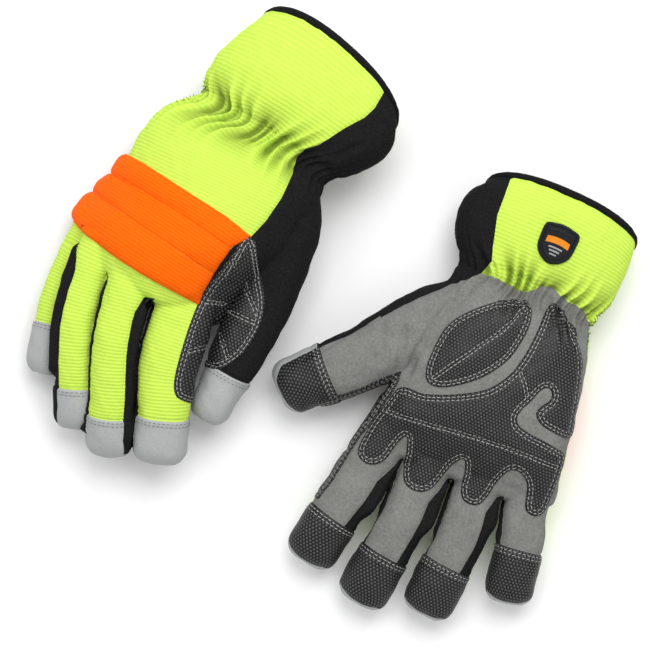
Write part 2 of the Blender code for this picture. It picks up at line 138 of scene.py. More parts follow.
# Half widths of the black side strips, degrees from the side towards (back, palm), on (thumb side, little
# side).
BACK_UP_STRIPS = {
    "index": (None, (22, 82)), "middle": ((46, 82), (24, 40)), "ring": ((-6, 40), (62, 40)),
    "little": ((-6, 40), None), "thumb": (None, None),
}
PALM_UP_STRIPS = {
    "index": (None, (40, 57)), "middle": ((40, 20), (40, 56)), "ring": ((40, 20), (40, 56)),
    "little": ((40, 24), None), "thumb": (None, None),
}
# Where the slit beside each digit starts, as the distance from its tip, on (thumb side, little side).
BACK_UP_SLITS = {"index": (90, 101), "middle": (102, 109), "ring": (102, 105), "little": (80, 80),
                 "thumb": (80, 80)}
PALM_UP_SLITS = {"index": (90, 90), "middle": (94, 98), "ring": (92, 96), "little": (78, 78),
                 "thumb": (60, 60)}

# How far from its tip each finger starts to touch the next one, on (thumb side, little side).
BACK_UP_JOINS = {"index": (99, 16), "middle": (16, 16), "ring": (16, 16), "little": (16, 99), "thumb": (99, 99)}
PALM_UP_JOINS = {"index": (99, 46), "middle": (54, 56), "ring": (46, 60), "little": (36, 99), "thumb": (99, 99)}

# How long each tip piece is, (silver cap on the back, dotted grip on the front).
BACK_UP_CAPS = {"index": (28, 30), "middle": (25, 31), "ring": (25, 31), "little": (29, 31), "thumb": (31, 31)}
PALM_UP_CAPS = {"index": (28, 31), "middle": (25, 32.5), "ring": (25, 32), "little": (29, 32), "thumb": (31, 32)}

# Place and turn of each drawing on the table, and +1 where the back is up.  "root" is the line where the
# fingers are cut from the hand, "pivots" are the hinges as in the part, and "folds" are creases, as (line,
# depth, width).
GLOVES = {
    "glove1": {
        "at": (-89.6, 32.5), "turn": -24.0, "lift": 3.3, "dorsal": 1.0, "seed": 1,
        "hand": BACK_UP_HAND, "digits": BACK_UP_DIGITS, "strips": BACK_UP_STRIPS, "slits": BACK_UP_SLITS,
        "joins": BACK_UP_JOINS, "caps": BACK_UP_CAPS,
        "root": ((-66, 8), (-57, 3.5), (-50, 1), (-30, -3.5), (-10, -6.5), (0, -7.5), (26, -9.5), (60, -11)),
        "pivots": {"index": (21, -24, 38), "middle": (-14.5, -22, 40.5), "ring": (-36.5, -19, 31.5),
                   "little": (-51, -13, 12.5), "thumb": (57.5, 13, 25)},
        "folds": ((((62, 98), (70, 108)), 0.8, 2.0), (((45, 85), (60, 90)), 0.9, 2.2)),
    },
    "glove2": {
        "at": (81.2, -59.9), "turn": -24.0, "lift": -0.6, "dorsal": -1.0, "seed": 2,
        "hand": PALM_UP_HAND, "digits": PALM_UP_DIGITS, "strips": PALM_UP_STRIPS, "slits": PALM_UP_SLITS,
        "joins": PALM_UP_JOINS, "caps": PALM_UP_CAPS,
        "root": ((-70, -8), (-30, -8), (0, -8), (30, -4), (66, -2)),
        "pivots": {"index": (-44, -30, 18), "middle": (-15.5, -30, 18), "ring": (14.5, -29, 18),
                   "little": (42.5, -23, 18), "thumb": (-71, 21, 22)},
        "folds": ((((-42, 66), (-46, 50), (-48, 32), (-47, 20)), 1.3, 2.2),
                  (((-60, 42), (-56, 30), (-53, 20)), 1.0, 2.0),
                  (((-50, 84), (-44, 78), (-38, 66)), 0.7, 2.0), (((-72, 40), (-64, 20)), 0.5, 2.5)),
    },
}


# ---------------------------------------------------------------- small helpers

def turned(glove, x, y):
    a = math.radians(glove["turn"])
    return x * math.cos(a) - y * math.sin(a), x * math.sin(a) + y * math.cos(a)


def place(glove, points):
    """Drawing frame in mm to the row frame in metres, for an (n, 3) array."""
    points = np.asarray(points, float)
    x, y = turned(glove, points[:, 0], points[:, 1])
    shift = np.array([glove["at"][0] - CENTRE[0], glove["at"][1] - CENTRE[1], glove["lift"]])
    return (np.stack([x, y, points[:, 2]], 1) + shift) * MM


def turn_normals(glove, normals):
    x, y = turned(glove, normals[:, 0], normals[:, 1])
    return np.stack([x, y, normals[:, 2]], 1)


def unit(vectors):
    return vectors / np.linalg.norm(vectors, axis=1)[:, None]


def smoothstep(low, high, value):
    t = np.clip((value - low) / (high - low), 0.0, 1.0)
    return t * t * (3 - 2 * t)


def curve(p0, p1, p2, p3, count):
    """The first count of the even steps from p1 to p2 on a Catmull-Rom curve."""
    t = (np.arange(count) / count)[:, None]
    return 0.5 * (2 * p1 + (p2 - p0) * t + (2 * p0 - 5 * p1 + 4 * p2 - p3) * t**2
                  + (3 * p1 - p0 - 3 * p2 + p3) * t**3)


def spline(points, step):
    """A smooth curve through the points (n, k), one point about every step."""
    points = np.asarray(points, float)
    padded = np.vstack([2 * points[0] - points[1], points, 2 * points[-1] - points[-2]])
    out = []
    for i in range(1, len(padded) - 2):
        count = max(1, int(round(np.linalg.norm((padded[i + 1] - padded[i])[:3]) / step)))
        out.append(curve(*padded[i - 1:i + 3], count))
    return np.vstack(out + [points[-1:]])


def loop(points, step):
    """A closed smooth curve through the points, resampled evenly."""
    points = np.asarray(points, float)
    wrapped = np.vstack([points[-2:], points, points[:3]])
    return even(np.vstack([curve(*wrapped[i - 1:i + 3], 24) for i in range(2, len(wrapped) - 3)]), step, True)


def even(line, step, closed=False):
    """The line resampled at an even spacing."""
    line = np.asarray(line, float)
    if closed:
        line = np.vstack([line, line[:1]])
    gaps = np.linalg.norm(np.diff(line, axis=0), axis=1)
    reach = np.concatenate([[0], np.cumsum(gaps)])
    count = max(2, int(round(reach[-1] / step)))
    at = np.linspace(0, reach[-1], count + 1)
    if closed:
        at = at[:-1]
    return np.stack([np.interp(at, reach, line[:, k]) for k in range(line.shape[1])], 1)


def line_distance(points, line, closed=False):
    """Distance of each 2-D point from a polyline, and on which side (positive on its left)."""
    line = np.asarray(line, float)
    ends = np.vstack([line, line[:1]]) if closed else line
    best = np.full(len(points), 1e9)
    side = np.zeros(len(points))
    for a, b in zip(ends[:-1], ends[1:]):
        d = b - a
        t = np.clip(((points - a) @ d) / max(d @ d, 1e-12), 0, 1)
        off = points - (a + t[:, None] * d)
        far = np.hypot(off[:, 0], off[:, 1])
        closer = far < best - 1e-9
        best = np.where(closer, far, best)
        side = np.where(closer, np.sign(d[0] * off[:, 1] - d[1] * off[:, 0]), side)
    return best, side


def left_of(points, line):
    """Signed distance of each 2-D point from a polyline, positive on its left as it is written."""
    far, side = line_distance(points, line)
    return far * side


def inside(points, line):
    """Which points are inside a closed outline."""
    odd = np.zeros(len(points), bool)
    x, y = points[:, 0], points[:, 1]
    for (x0, y0), (x1, y1) in zip(line, np.roll(line, -1, axis=0)):
        if y0 == y1:
            continue
        crossing = ((y0 > y) != (y1 > y)) & (x < x0 + (y - y0) / (y1 - y0) * (x1 - x0))
        odd ^= crossing
    return odd


def region(points, line):
    """Positive inside a closed outline, by the distance from it."""
    far, _ = line_distance(points, line, True)
    return np.where(inside(points, line), far, -far)


def split(points, triangles, field):
    """Cuts the triangles along the zero line of the field: (points, those where it is positive, the others)."""
    field = np.where(np.abs(field) < 0.02, 0.02, field)
    above = field[triangles] > 0
    count = above.sum(1)
    whole_in, whole_out = triangles[count == 3], triangles[count == 0]
    mixed = (count == 1) | (count == 2)
    tri, flags, number = triangles[mixed], above[mixed], count[mixed]
    if not len(tri):
        return points, whole_in, whole_out
    lone = np.where(number == 1, flags.argmax(1), (~flags).argmax(1))
    rows = np.arange(len(tri))
    a, b, c = tri[rows, lone], tri[rows, (lone + 1) % 3], tri[rows, (lone + 2) % 3]
    pairs = np.sort(np.vstack([np.stack([a, b], 1), np.stack([a, c], 1)]), axis=1)
    unique, index = np.unique(pairs, axis=0, return_inverse=True)
    index = index.reshape(-1)
    f0, f1 = field[unique[:, 0]], field[unique[:, 1]]
    t = (f0 / (f0 - f1))[:, None]
    fresh = points[unique[:, 0]] * (1 - t) + points[unique[:, 1]] * t
    ab, ac = index[:len(tri)] + len(points), index[len(tri):] + len(points)
    tip = np.stack([a, ab, ac], 1)
    rest = np.vstack([np.stack([ab, b, c], 1), np.stack([ab, c, ac], 1)])
    is_in = number == 1
    both = np.concatenate([is_in, is_in])
    return (np.vstack([points, fresh]), np.vstack([whole_in, tip[is_in], rest[~both]]),
            np.vstack([whole_out, tip[~is_in], rest[both]]))


def compact(points, triangles):
    """Only the points that the triangles use."""
    used, index = np.unique(triangles, return_inverse=True)
    return points[used], index.reshape(-1, 3)


def add_object(name, contents):
    obj = bpy.data.objects.new(name, contents)
    bpy.context.scene.collection.objects.link(obj)
    return obj


# ---------------------------------------------------------------- materials

def new_material(name, roughness, specular=0.1):
    """(material, node tree, shader)"""
    made = bpy.data.materials.new(name)
    made.use_nodes = True
    shader = made.node_tree.nodes["Principled BSDF"]
    shader.inputs["Roughness"].default_value = roughness
    shader.inputs["Specular IOR Level"].default_value = specular
    return made, made.node_tree, shader


def fill_socket(tree, socket, value):
    """Links the socket where the value is another node's output, and sets it otherwise."""
    if isinstance(value, bpy.types.NodeSocket):
        tree.links.new(value, socket)
    else:
        socket.default_value = value


def node(tree, kind, *values, operation=None, output=0):
    """One output of a new node with its first inputs filled."""
    made = tree.nodes.new(kind)
    if operation:
        made.operation = operation
    for socket, value in zip(made.inputs, values):
        fill_socket(tree, socket, value)
    return made.outputs[output]


def maths(tree, operation, *values):
    return node(tree, "ShaderNodeMath", *values, operation=operation)


def vectors(tree, operation, *values, output=0):
    return node(tree, "ShaderNodeVectorMath", *values, operation=operation, output=output)


def clamped(tree, value):
    return maths(tree, "MINIMUM", maths(tree, "MAXIMUM", value, 0.0), 1.0)


def mix_colour(tree, factor, first, second):
    made = tree.nodes.new("ShaderNodeMix")
    made.data_type = "RGBA"
    for index, value in ((0, factor), (6, first), (7, second)):
        fill_socket(tree, made.inputs[index], value)
    return made.outputs[2]


def noise(tree, vector, scale, detail):
    made = tree.nodes.new("ShaderNodeTexNoise")
    for name, value in (("Scale", scale), ("Detail", detail), ("Vector", vector)):
        fill_socket(tree, made.inputs[name], value)
    return made.outputs["Fac"]


def attribute(tree, name, output):
    made = tree.nodes.new("ShaderNodeAttribute")
    made.attribute_name = name
    return made.outputs[output]


def finish_look(tree, shader, colour, height, strength, distance):
    """Gives the shader its colour and its bump."""
    tree.links.new(colour, shader.inputs["Base Color"])
    made = tree.nodes.new("ShaderNodeBump")
    for name, value in (("Strength", strength), ("Distance", distance), ("Height", height)):
        fill_socket(tree, made.inputs[name], value)
    tree.links.new(made.outputs[0], shader.inputs["Normal"])


def ribbed(name, light, dark, pitch, depth, weave=0.0):
    """Rib-knit cloth: stripes across the piece, a pitch of some mm apart, with painted shade in the gathers'
    valleys.
    """
    made, tree, shader = new_material(name, 0.8, 0.08)
    uv = node(tree, "ShaderNodeUVMap")
    apart = tree.nodes.new("ShaderNodeSeparateXYZ")
    tree.links.new(uv, apart.inputs[0])
    along = maths(tree, "MULTIPLY_ADD", noise(tree, uv, 14.0, 2.0), 0.006, apart.outputs[1])
    ribs = maths(tree, "SINE", maths(tree, "MULTIPLY", along, 2 * math.pi * CLOTH_UNIT / pitch))
    loops = maths(tree, "SINE", maths(tree, "MULTIPLY", apart.outputs[0], 2 * math.pi * CLOTH_UNIT / LOOP))
    knit = maths(tree, "MULTIPLY_ADD", loops, 0.10 + weave, maths(tree, "MULTIPLY_ADD", ribs, 0.5, 0.5))
    # The colour is partly random mottling and partly painted shade: the grooves between the ribs and loops are
    # painted darker.
    tone = maths(tree, "MULTIPLY_ADD", noise(tree, uv, 60.0, 4.0), 0.5, maths(tree, "MULTIPLY", knit, 0.6))
    cloth = mix_colour(tree, clamped(tree, tone), (*dark, 1), (*light, 1))
    # Painted shade: the "shade" attribute mixes the cloth towards this darker copy of it in the gathers' valleys.
    painted_valley_shade = (*(0.42 * value for value in dark), 1)
    shaded = mix_colour(tree, attribute(tree, "shade", "Fac"), cloth, painted_valley_shade)
    finish_look(tree, shader, shaded, knit, 0.5, depth)
    return made


def matt(name, light, dark, scale, roughness, depth, blotch=0.0):
    """Suede, fleece or tape: a fine nap with slight tone changes, which stays put when a finger bends."""
    made, tree, shader = new_material(name, roughness)
    rest = attribute(tree, "rest", "Vector")
    fine = noise(tree, rest, scale, 5.0)
    tone = maths(tree, "MULTIPLY_ADD", noise(tree, rest, 9.0, 3.0), blotch, fine)
    tone = clamped(tree, maths(tree, "MULTIPLY_ADD", tone, 1.6, -0.3 - 0.8 * blotch))
    finish_look(tree, shader, mix_colour(tree, tone, (*dark, 1), (*light, 1)), fine, 0.35, depth)
    return made


def dotted(name, base, dot_highlight, pitch):
    """Leather embossed with a hexagonal grid of small raised dots, whose tops carry a painted highlight."""
    made, tree, shader = new_material(name, 0.45, 0.3)
    uv = node(tree, "ShaderNodeUVMap")
    tall = 1.732  # height of a hexagonal grid's cell, in pitches

    def lattice(offset):
        """How far each point is from the middle of its cell."""
        size = (CLOTH_UNIT / pitch, CLOTH_UNIT / (pitch * tall), 0)
        part = vectors(tree, "FRACTION", vectors(tree, "MULTIPLY_ADD", uv, size, (offset, offset, 0)))
        centred = vectors(tree, "SUBTRACT", part, (0.5, 0.5, 0))
        return vectors(tree, "LENGTH", vectors(tree, "MULTIPLY", centred, (1, tall, 0)), output="Value")

    near = maths(tree, "MINIMUM", lattice(0.0), lattice(0.5))
    height = maths(tree, "MAXIMUM", maths(tree, "SUBTRACT", 1.0, maths(tree, "MULTIPLY", near, 2.6)), 0.0)
    # Painted highlight: the tops of the raised dots are painted lighter than the leather between them.
    tone = maths(tree, "MINIMUM", maths(tree, "MULTIPLY", height, 1.6), 1.0)
    finish_look(tree, shader, mix_colour(tree, tone, (*base, 1), (*dot_highlight, 1)), height, 0.6, 0.0006)
    return made


LOOKS = {
    "yellow": ribbed("yellow_rib_knit", (0.61, 0.84, 0.112), (0.45, 0.65, 0.072), RIB, 0.0004),
    "orange": ribbed("orange_rib_knit", (1.0, 0.150, 0.0015), (0.86, 0.095, 0.001), RIB, 0.0003, 0.15),
    "black": matt("black_fleece", (0.017, 0.017, 0.0175), (0.004, 0.004, 0.0042), 90.0, 0.95, 0.0006),
    "grey": matt("grey_suede", (0.232, 0.232, 0.219), (0.136, 0.136, 0.129), 70.0, 0.95, 0.0003, 0.5),
    "silver": matt("silver_reflective", (0.425, 0.437, 0.435), (0.32, 0.33, 0.328), 120.0, 0.55, 0.0002),
    # The dots' lighter colour is a painted highlight.
    "dots": dotted("embossed_grip", (0.0035, 0.0035, 0.004), (0.088, 0.088, 0.086), 1.9),
    "binding": matt("binding_tape", (0.012, 0.012, 0.013), (0.005, 0.005, 0.006), 60.0, 0.8, 0.0004),
    "lining": matt("brushed_lining", (0.026, 0.026, 0.027), (0.008, 0.008, 0.009), 50.0, 0.98, 0.0010),
    "rubber": matt("badge_rubber", (0.014, 0.015, 0.017), (0.009, 0.010, 0.012), 30.0, 0.5, 0.0001),
    "badge_orange": matt("badge_bar_orange", (0.75, 0.25, 0.02), (0.6, 0.18, 0.01), 30.0, 0.5, 0.0001),
    "badge_grey": matt("badge_bar_grey", (0.33, 0.33, 0.33), (0.26, 0.26, 0.26), 30.0, 0.5, 0.0001),
    "thread": matt("white_thread", (0.50, 0.50, 0.485), (0.34, 0.34, 0.33), 120.0, 0.8, 0.0001),
    "thread_grey": matt("grey_thread", (0.20, 0.20, 0.21), (0.12, 0.12, 0.125), 120.0, 0.8, 0.0001),
    "thread_yellow": matt("yellow_thread", (0.42, 0.74, 0.04), (0.30, 0.56, 0.03), 120.0, 0.8, 0.0001),
}


# ---------------------------------------------------------------- the sewn outlines, mm in the drawing frames

BACK_GUSSET = ((74, 170), (71, 139), (70, 130), (67, 123), (60, 114), (54, 105), (50, 99), (44, 94), (42, 88),
               (44, 80), (43.5, 65), (41, 50), (37, 38), (30, 29), (27, 15), (25, 0), (27, -30), (30, -90))
PALM_CUFF_EDGE = ((-41, 170), (-39, 136), (-38, 120), (-36.5, 115), (-33, 103), (-30, 96), (-33, 88))
PALM_WRIST = ((-70, 90), (-33, 88), (-15, 88), (-9, 87), (-4, 89), (0, 93), (6, 95), (14, 93.5), (20, 91.5),
              (26, 92.5), (31, 90), (34, 87), (60, 80))
PALM_THUMB_EDGE = ((-30, 92), (-36, 84), (-45, 76), (-55, 65), (-65, 54), (-75, 41), (-85, 28), (-92, 18),
                   (-104, 2))
BAND_TOP = ((-75, 46), (-49, 53.5), (-30, 51), (0, 46), (20, 43), (37, 38.5), (70, 30))
BAND_BOTTOM = ((-75, 16), (-66, 11), (-58, 6), (-50, 3), (-30, -1.5), (-10, -4.5), (0, -5.5), (25, -7.5),
               (50, -9.5))
BAND_GROOVES = (((-75, 41), (-50, 39.5), (-10, 35.5), (28, 28), (60, 20)),
                ((-75, 29), (-55, 26), (-20, 18.5), (20, 13), (60, 8)))

PALM_PAD = ((10, 88), (16, 87.5), (25, 82), (33, 73.5), (38.5, 66), (43, 54), (46.5, 42), (49.5, 30),
            (50, 24.5), (47, 22.6), (40, 22.6), (33, 23.5), (28.5, 25.6), (26.2, 28.7), (27, 32.8),
            (29.6, 37), (30.2, 40.5), (28.6, 43.2), (26, 43.8), (23.4, 41.2), (21, 34), (18, 26.5),
            (17.6, 22), (20.5, 18.6), (27, 17), (36, 16.4), (45, 15.4), (51, 14), (53, 4), (54, -8),
            (54.5, -18), (52.5, -23), (48, -24.5), (43.5, -22.5), (41, -16), (39, -10.5), (35, -6.5),
            (30, -4.8), (26, -7), (23, -15), (21.5, -25), (19, -31), (13.5, -33), (8.5, -31), (5.5, -24),
            (3.5, -16), (0.5, -11), (-3.5, -16), (-6, -25), (-8.5, -33), (-13, -37.5), (-19, -38.5),
            (-24.5, -36), (-28, -28), (-31, -18), (-34, -12.5), (-37, -20), (-39, -29), (-43, -34),
            (-48.5, -35.5), (-54, -33), (-55.5, -26), (-54, -12), (-51, 2), (-49, 10), (-44, 12.6),
            (-36, 13), (-25, 17), (-12, 24), (-3, 31), (3, 40), (6.3, 50), (8, 65), (8.3, 80))
THENAR_PAD = ((-3.5, 83), (1, 80), (3.2, 70), (2, 57), (-1, 47), (-8, 36), (-16, 28), (-25, 21.5), (-33, 19.2),
              (-38, 22.5), (-40, 32), (-39.5, 48), (-36, 58), (-28, 68), (-18, 77), (-9, 82))
SADDLE_HAND = ((38.5, 37.5), (32.5, 28), (28.5, 14), (25, -1), (25, -16), (27, -36), (29.5, -50), (33, -57.5),
               (38, -59.5), (47, -58), (51, -50), (52, -20), (54, 6), (51.5, 18.5), (45, 29), (41.5, 34.5))
SADDLE_THUMB = ((38.5, 37.5), (41.5, 34.5), (45, 29), (52, 18), (58, 8), (60.5, -3), (60, -14), (57.5, -24),
                (53, -32), (47.5, -36.5), (38, -37), (32, -32), (31, -8), (31, 8), (32, 28), (34, 38))
BADGE = ((-11.5, 127.5), (-6, 129.4), (-1.5, 130), (3, 129.4), (8.5, 127.5), (9, 120), (8, 113.5), (4, 109),
         (-1.5, 107), (-7, 109), (-11, 113.5), (-12, 120))
BADGE_ARC = (-1.5, 103.5, 22.2)  # its middle and its radius
# Each bar's left, right, lowest and highest place, and its look.
BADGE_BARS = ((-8.2, 5.2, 118.6, 122.2, "badge_orange"), (-5.5, 2.5, 115.9, 116.8, "badge_grey"),
              (-4.5, 1.5, 114.0, 114.9, "badge_grey"), (-3.5, 0.5, 112.1, 112.9, "badge_grey"))


# ---------------------------------------------------------------- the body of a glove

def hand_rows(glove):
    rows = np.array(sorted(glove["hand"]), float)
    fine = spline(rows, 2.0)
    return fine[np.argsort(fine[:, 0])]


def hand_section(glove, v):
    """(middle x y, across x y, along x y, half width, half thickness, height, slope, arch, bow) at each v."""
    rows = glove["rows"]
    tx, ty, lx, ly, thick, height, slope, arch, bow = (np.interp(v, rows[:, 0], rows[:, k])
                                                       for k in range(1, 10))
    ax, ay = tx - lx, ty - ly
    width = np.hypot(ax, ay)
    ax, ay = ax / width, ay / width
    sign = np.where(ax > 0, 1.0, -1.0)
    return ((tx + lx) / 2, (ty + ly) / 2, ax, ay, -ay * sign, ax * sign, width / 2, thick, height, slope, arch,
            bow)


def hand_point(glove, theta, v, offset=0.0):
    """Points of the hand tube at the angles theta (0 thumb side, 90 back, 180 little side, 270 palm)."""
    mx, my, ax, ay, lx, ly, half, thick, height, slope, arch, bow = hand_section(glove, v)
    c, s = np.cos(np.radians(theta)), np.sin(np.radians(theta))
    q = np.sign(c) * np.abs(c) ** (2 / HAND_ROUNDNESS) * (half + offset)
    up = np.sign(s) * np.abs(s) ** (2 / HAND_ROUNDNESS) * (thick + offset)
    ahead = bow * np.abs(s)
    return np.stack([mx + ax * q + lx * ahead, my + ay * q + ly * ahead,
                     height + slope * q + arch * q * q + glove["dorsal"] * up], 1)


def hand_place(glove, points):
    """(across, up, gauge mm, v) of each point in the hand tube, across and up as shares of its half sizes."""
    v = points[:, 1].copy()
    low, high = glove["rows"][0, 0], glove["rows"][-1, 0]
    for _ in range(14):
        section = hand_section(glove, np.clip(v, low, high))
        mx, my, ax, ay, lx, ly, half, thick, height, slope, arch, bow = section
        dx, dy = points[:, 0] - mx, points[:, 1] - my
        q = dx * ax + dy * ay
        up = (points[:, 2] - height - slope * q - arch * q * q) * glove["dorsal"]
        a, b = q / half, up / thick
        sine = np.abs(b) / np.maximum(np.hypot(a, b), 1e-6)
        v = np.clip(v, low, high) + 0.8 * (dx * lx + dy * ly - bow * sine)
    gauge = (np.abs(a) ** HAND_ROUNDNESS + np.abs(b) ** HAND_ROUNDNESS) ** (1 / HAND_ROUNDNESS) - 1
    past = np.maximum(0, low + 3 - v)
    return a, b, gauge * np.minimum(half, thick * 1.4) + past, v


def digit_line(glove, digit):
    """A digit's centre line, root first: rows of x, y, z, half width, half thickness, distance from the tip."""
    _, tip, rows = glove["digits"][digit]
    rows = np.array(rows, float)
    last = np.array([*tip, rows[-1, 3], rows[-1, 4] * 0.9])
    fine = even(spline(np.vstack([rows, last]), 1.5), 1.5)
    left = np.concatenate([[0], np.cumsum(np.linalg.norm(np.diff(fine[:, :3], axis=0), axis=1))])
    return np.column_stack([fine, left[-1] - left])


def digit_frames(glove, digit, line):
    """(towards the tip, lateral towards the thumb side, dorsal) at each row of the line."""
    roll = math.radians(glove["digits"][digit][0])
    ahead = unit(np.gradient(line[:, :3], axis=0))
    side = unit(np.cross(np.tile([0.0, 0.0, glove["dorsal"]], (len(line), 1)), ahead))
    up = np.cross(ahead, side)
    lateral = math.cos(roll) * side - math.sin(roll) * up
    dorsal = math.cos(roll) * up + math.sin(roll) * side
    return ahead, lateral, dorsal


def digit_place(glove, digit, points):
    """(across, up, gauge mm, distance from the tip) of each point in a digit tube."""
    line, (ahead, lateral, dorsal) = glove["lines"][digit], glove["frames"][digit]
    nearest = np.zeros(len(points), int)
    for start in range(0, len(points), 20000):
        chunk = points[start:start + 20000, None, :] - line[None, :, :3]
        nearest[start:start + 20000] = (chunk**2).sum(2).argmin(1)
    off = points - line[nearest, :3]
    shift = (off * ahead[nearest]).sum(1)
    left = line[nearest, 5] - shift
    a = (off * lateral[nearest]).sum(1) / line[nearest, 3]
    b = (off * dorsal[nearest]).sum(1) / line[nearest, 4]
    gauge = (np.abs(a) ** DIGIT_ROUNDNESS + np.abs(b) ** DIGIT_ROUNDNESS) ** (1 / DIGIT_ROUNDNESS) - 1
    past = np.maximum(0, left - line[0, 5]) * 2
    return a, b, gauge * line[nearest, 3] + past, left


def tube(rings, start, end):
    """A closed quad tube from equally long rings of points, capped with fans at the points start and end."""
    count = len(rings[0])
    points = np.vstack([*rings, [start], [end]])
    faces = []
    for i in range(len(rings) - 1):
        for j in range(count):
            k = (j + 1) % count
            faces.append((i * count + j, i * count + k, (i + 1) * count + k, (i + 1) * count + j))
    first, last = len(points) - 2, len(points) - 1
    for j in range(count):
        k = (j + 1) % count
        faces.append((first, k, j))
        faces.append((last, (len(rings) - 1) * count + j, (len(rings) - 1) * count + k))
    return points, faces


def rough_tubes(glove):
    """The hand tube and the digit tubes that the body is grown from."""
    theta = np.linspace(0, 360, 97)[:-1]
    low, high = glove["rows"][0, 0], glove["rows"][-1, 0]
    rings = [hand_point(glove, theta, np.full(len(theta), v)) for v in np.arange(high, low, -2.0)]
    closing = rings[-1].mean(0)
    for share, ahead in ((0.93, 3.0), (0.8, 5.5), (0.55, 7.5)):
        ring = closing + (hand_point(glove, theta, np.full(len(theta), low)) - closing) * share
        ring[:, 1] -= ahead
        rings.append(ring)
    made = [tube(rings, rings[0].mean(0), rings[-1].mean(0) - [0, 0.5, 0])]
    angle = np.radians(np.linspace(0, 360, 49)[:-1])
    c = np.sign(np.cos(angle)) * np.abs(np.cos(angle)) ** (2 / DIGIT_ROUNDNESS)
    s = np.sign(np.sin(angle)) * np.abs(np.sin(angle)) ** (2 / DIGIT_ROUNDNESS)
    for digit in DIGITS:
        line, (ahead, lateral, dorsal) = glove["lines"][digit], glove["frames"][digit]
        rings = []
        for row, l, n in zip(line, lateral, dorsal):
            near = np.clip(1 - row[5] / TIP_LENGTH, 0, 1)
            shrink = (1 - near**2.6) ** (1 / 2.4)
            if shrink < 0.12:
                break
            taper = 1 - np.clip(1 - row[5] / TIP_TAPER, 0, 1) ** 2 * 0.22
            thin = taper * (1 - near**2.6) ** (1 / 2.2)
            rings.append(row[:3] + np.outer(c * row[3] * shrink, l) + np.outer(s * row[4] * thin, n))
        made.append(tube(rings, line[0, :3], rings[-1].mean(0) + ahead[-1] * 0.4))
    return made


def grow_body(glove):
    """One smooth closed skin round all the tubes: (points mm, triangles)."""
    mesh = bpy.data.meshes.new("rough")
    points, faces, base = [], [], 0
    for some, polygons in rough_tubes(glove):
        points.append(some)
        faces += [tuple(i + base for i in face) for face in polygons]
        base += len(some)
    mesh.from_pydata(np.vstack(points), [], faces)
    work = bmesh.new()
    work.from_mesh(mesh)
    bmesh.ops.recalc_face_normals(work, faces=work.faces)
    work.to_mesh(mesh)
    work.free()
    obj = add_object("rough", mesh)
    remesh = obj.modifiers.new("remesh", "REMESH")
    remesh.mode = "VOXEL"
    remesh.voxel_size = VOXEL
    remesh.adaptivity = 0
    graph = bpy.context.evaluated_depsgraph_get()
    made = obj.evaluated_get(graph).to_mesh()
    made.calc_loop_triangles()
    out = np.empty(len(made.vertices) * 3, np.float32)
    made.vertices.foreach_get("co", out)
    triangles = np.empty(len(made.loop_triangles) * 3, np.int32)
    made.loop_triangles.foreach_get("vertices", triangles)
    obj.evaluated_get(graph).to_mesh_clear()
    bpy.data.objects.remove(obj, do_unlink=True)
    return out.reshape(-1, 3).astype(float), triangles.reshape(-1, 3)


def sides_of(triangles):
    """The sorted ends of every triangle's first, second and third sides, in that order."""
    return np.sort(np.vstack([triangles[:, [0, 1]], triangles[:, [1, 2]], triangles[:, [2, 0]]]), axis=1)


def smoothed(points, edges, rounds):
    """Laplacian smoothing with a following small inflation, so that the tubes keep their size."""
    count, share = len(points), 0.5
    degree = np.bincount(edges.ravel(), minlength=count).astype(float)[:, None]
    for turn in range(rounds):
        total = np.empty_like(points)
        for k in range(points.shape[1]):
            total[:, k] = (np.bincount(edges[:, 0], points[edges[:, 1], k], count)
                           + np.bincount(edges[:, 1], points[edges[:, 0], k], count))
        step = share if turn % 2 == 0 else -share * 1.03
        points = points + step * (total / np.maximum(degree, 1) - points)
    return points


def normals_of(points, triangles):
    a, b, c = (points[triangles[:, k]] for k in range(3))
    face = np.cross(b - a, c - a)
    out = np.zeros_like(points)
    for k in range(3):
        for axis in range(3):
            out[:, axis] += np.bincount(triangles[:, k], face[:, axis], len(points))
    return out / np.maximum(np.linalg.norm(out, axis=1), 1e-12)[:, None]


# ---------------------------------------------------------------- what is known at each point of the skin

# Columns of the skin's rows.  First the place and the normal, in the glove's own drawing.  Then the cloth's U
# and V, the place in the back-up and the palm-up drawing, the height over the side seams, and the distance
# along, across and out of the hand tube.  Then the place before any joint moves, how much painted shade the
# cloth gets in a gather's valley, and the four measures of each digit.
NZ = 5
U, V, BX, BY, PX, PY, SIDE, HV, HA, HG, RX, _, RZ, SHADE, FIRST = range(6, 21)
BACK_UP_AT, PALM_UP_AT = [BX, BY], [PX, PY]


def col(digit, kind):
    """The column of a digit's across, up, gauge or distance from the tip."""
    return FIRST + 4 * DIGITS.index(digit) + ("across", "up", "gauge", "left").index(kind)


WIDTH = FIRST + 4 * len(DIGITS)


def drawings(glove):
    """The columns of the glove's own drawing, then those of the other glove's."""
    return (BACK_UP_AT, PALM_UP_AT) if glove["dorsal"] > 0 else (PALM_UP_AT, BACK_UP_AT)


def lay_uv(data, across, along):
    data[:, U], data[:, V] = across / CLOTH_UNIT, along / CLOTH_UNIT


def loose_rows(points, normals):
    """Rows for points that aren't on the skin."""
    data = np.zeros((len(points), WIDTH))
    data[:, :3], data[:, 3:6], data[:, RX:RZ + 1] = points, normals, points / CLOTH_UNIT
    lay_uv(data, points[:, 0], points[:, 1])
    return data


def hinge_left(glove, digit):
    """How far a digit's hinge, on its row named by the part, is from its tip."""
    line = glove["lines"][digit]
    pivot = np.array(glove["pivots"][digit])
    return line[((line[:, :3] - pivot) ** 2).sum(1).argmin(), 5]


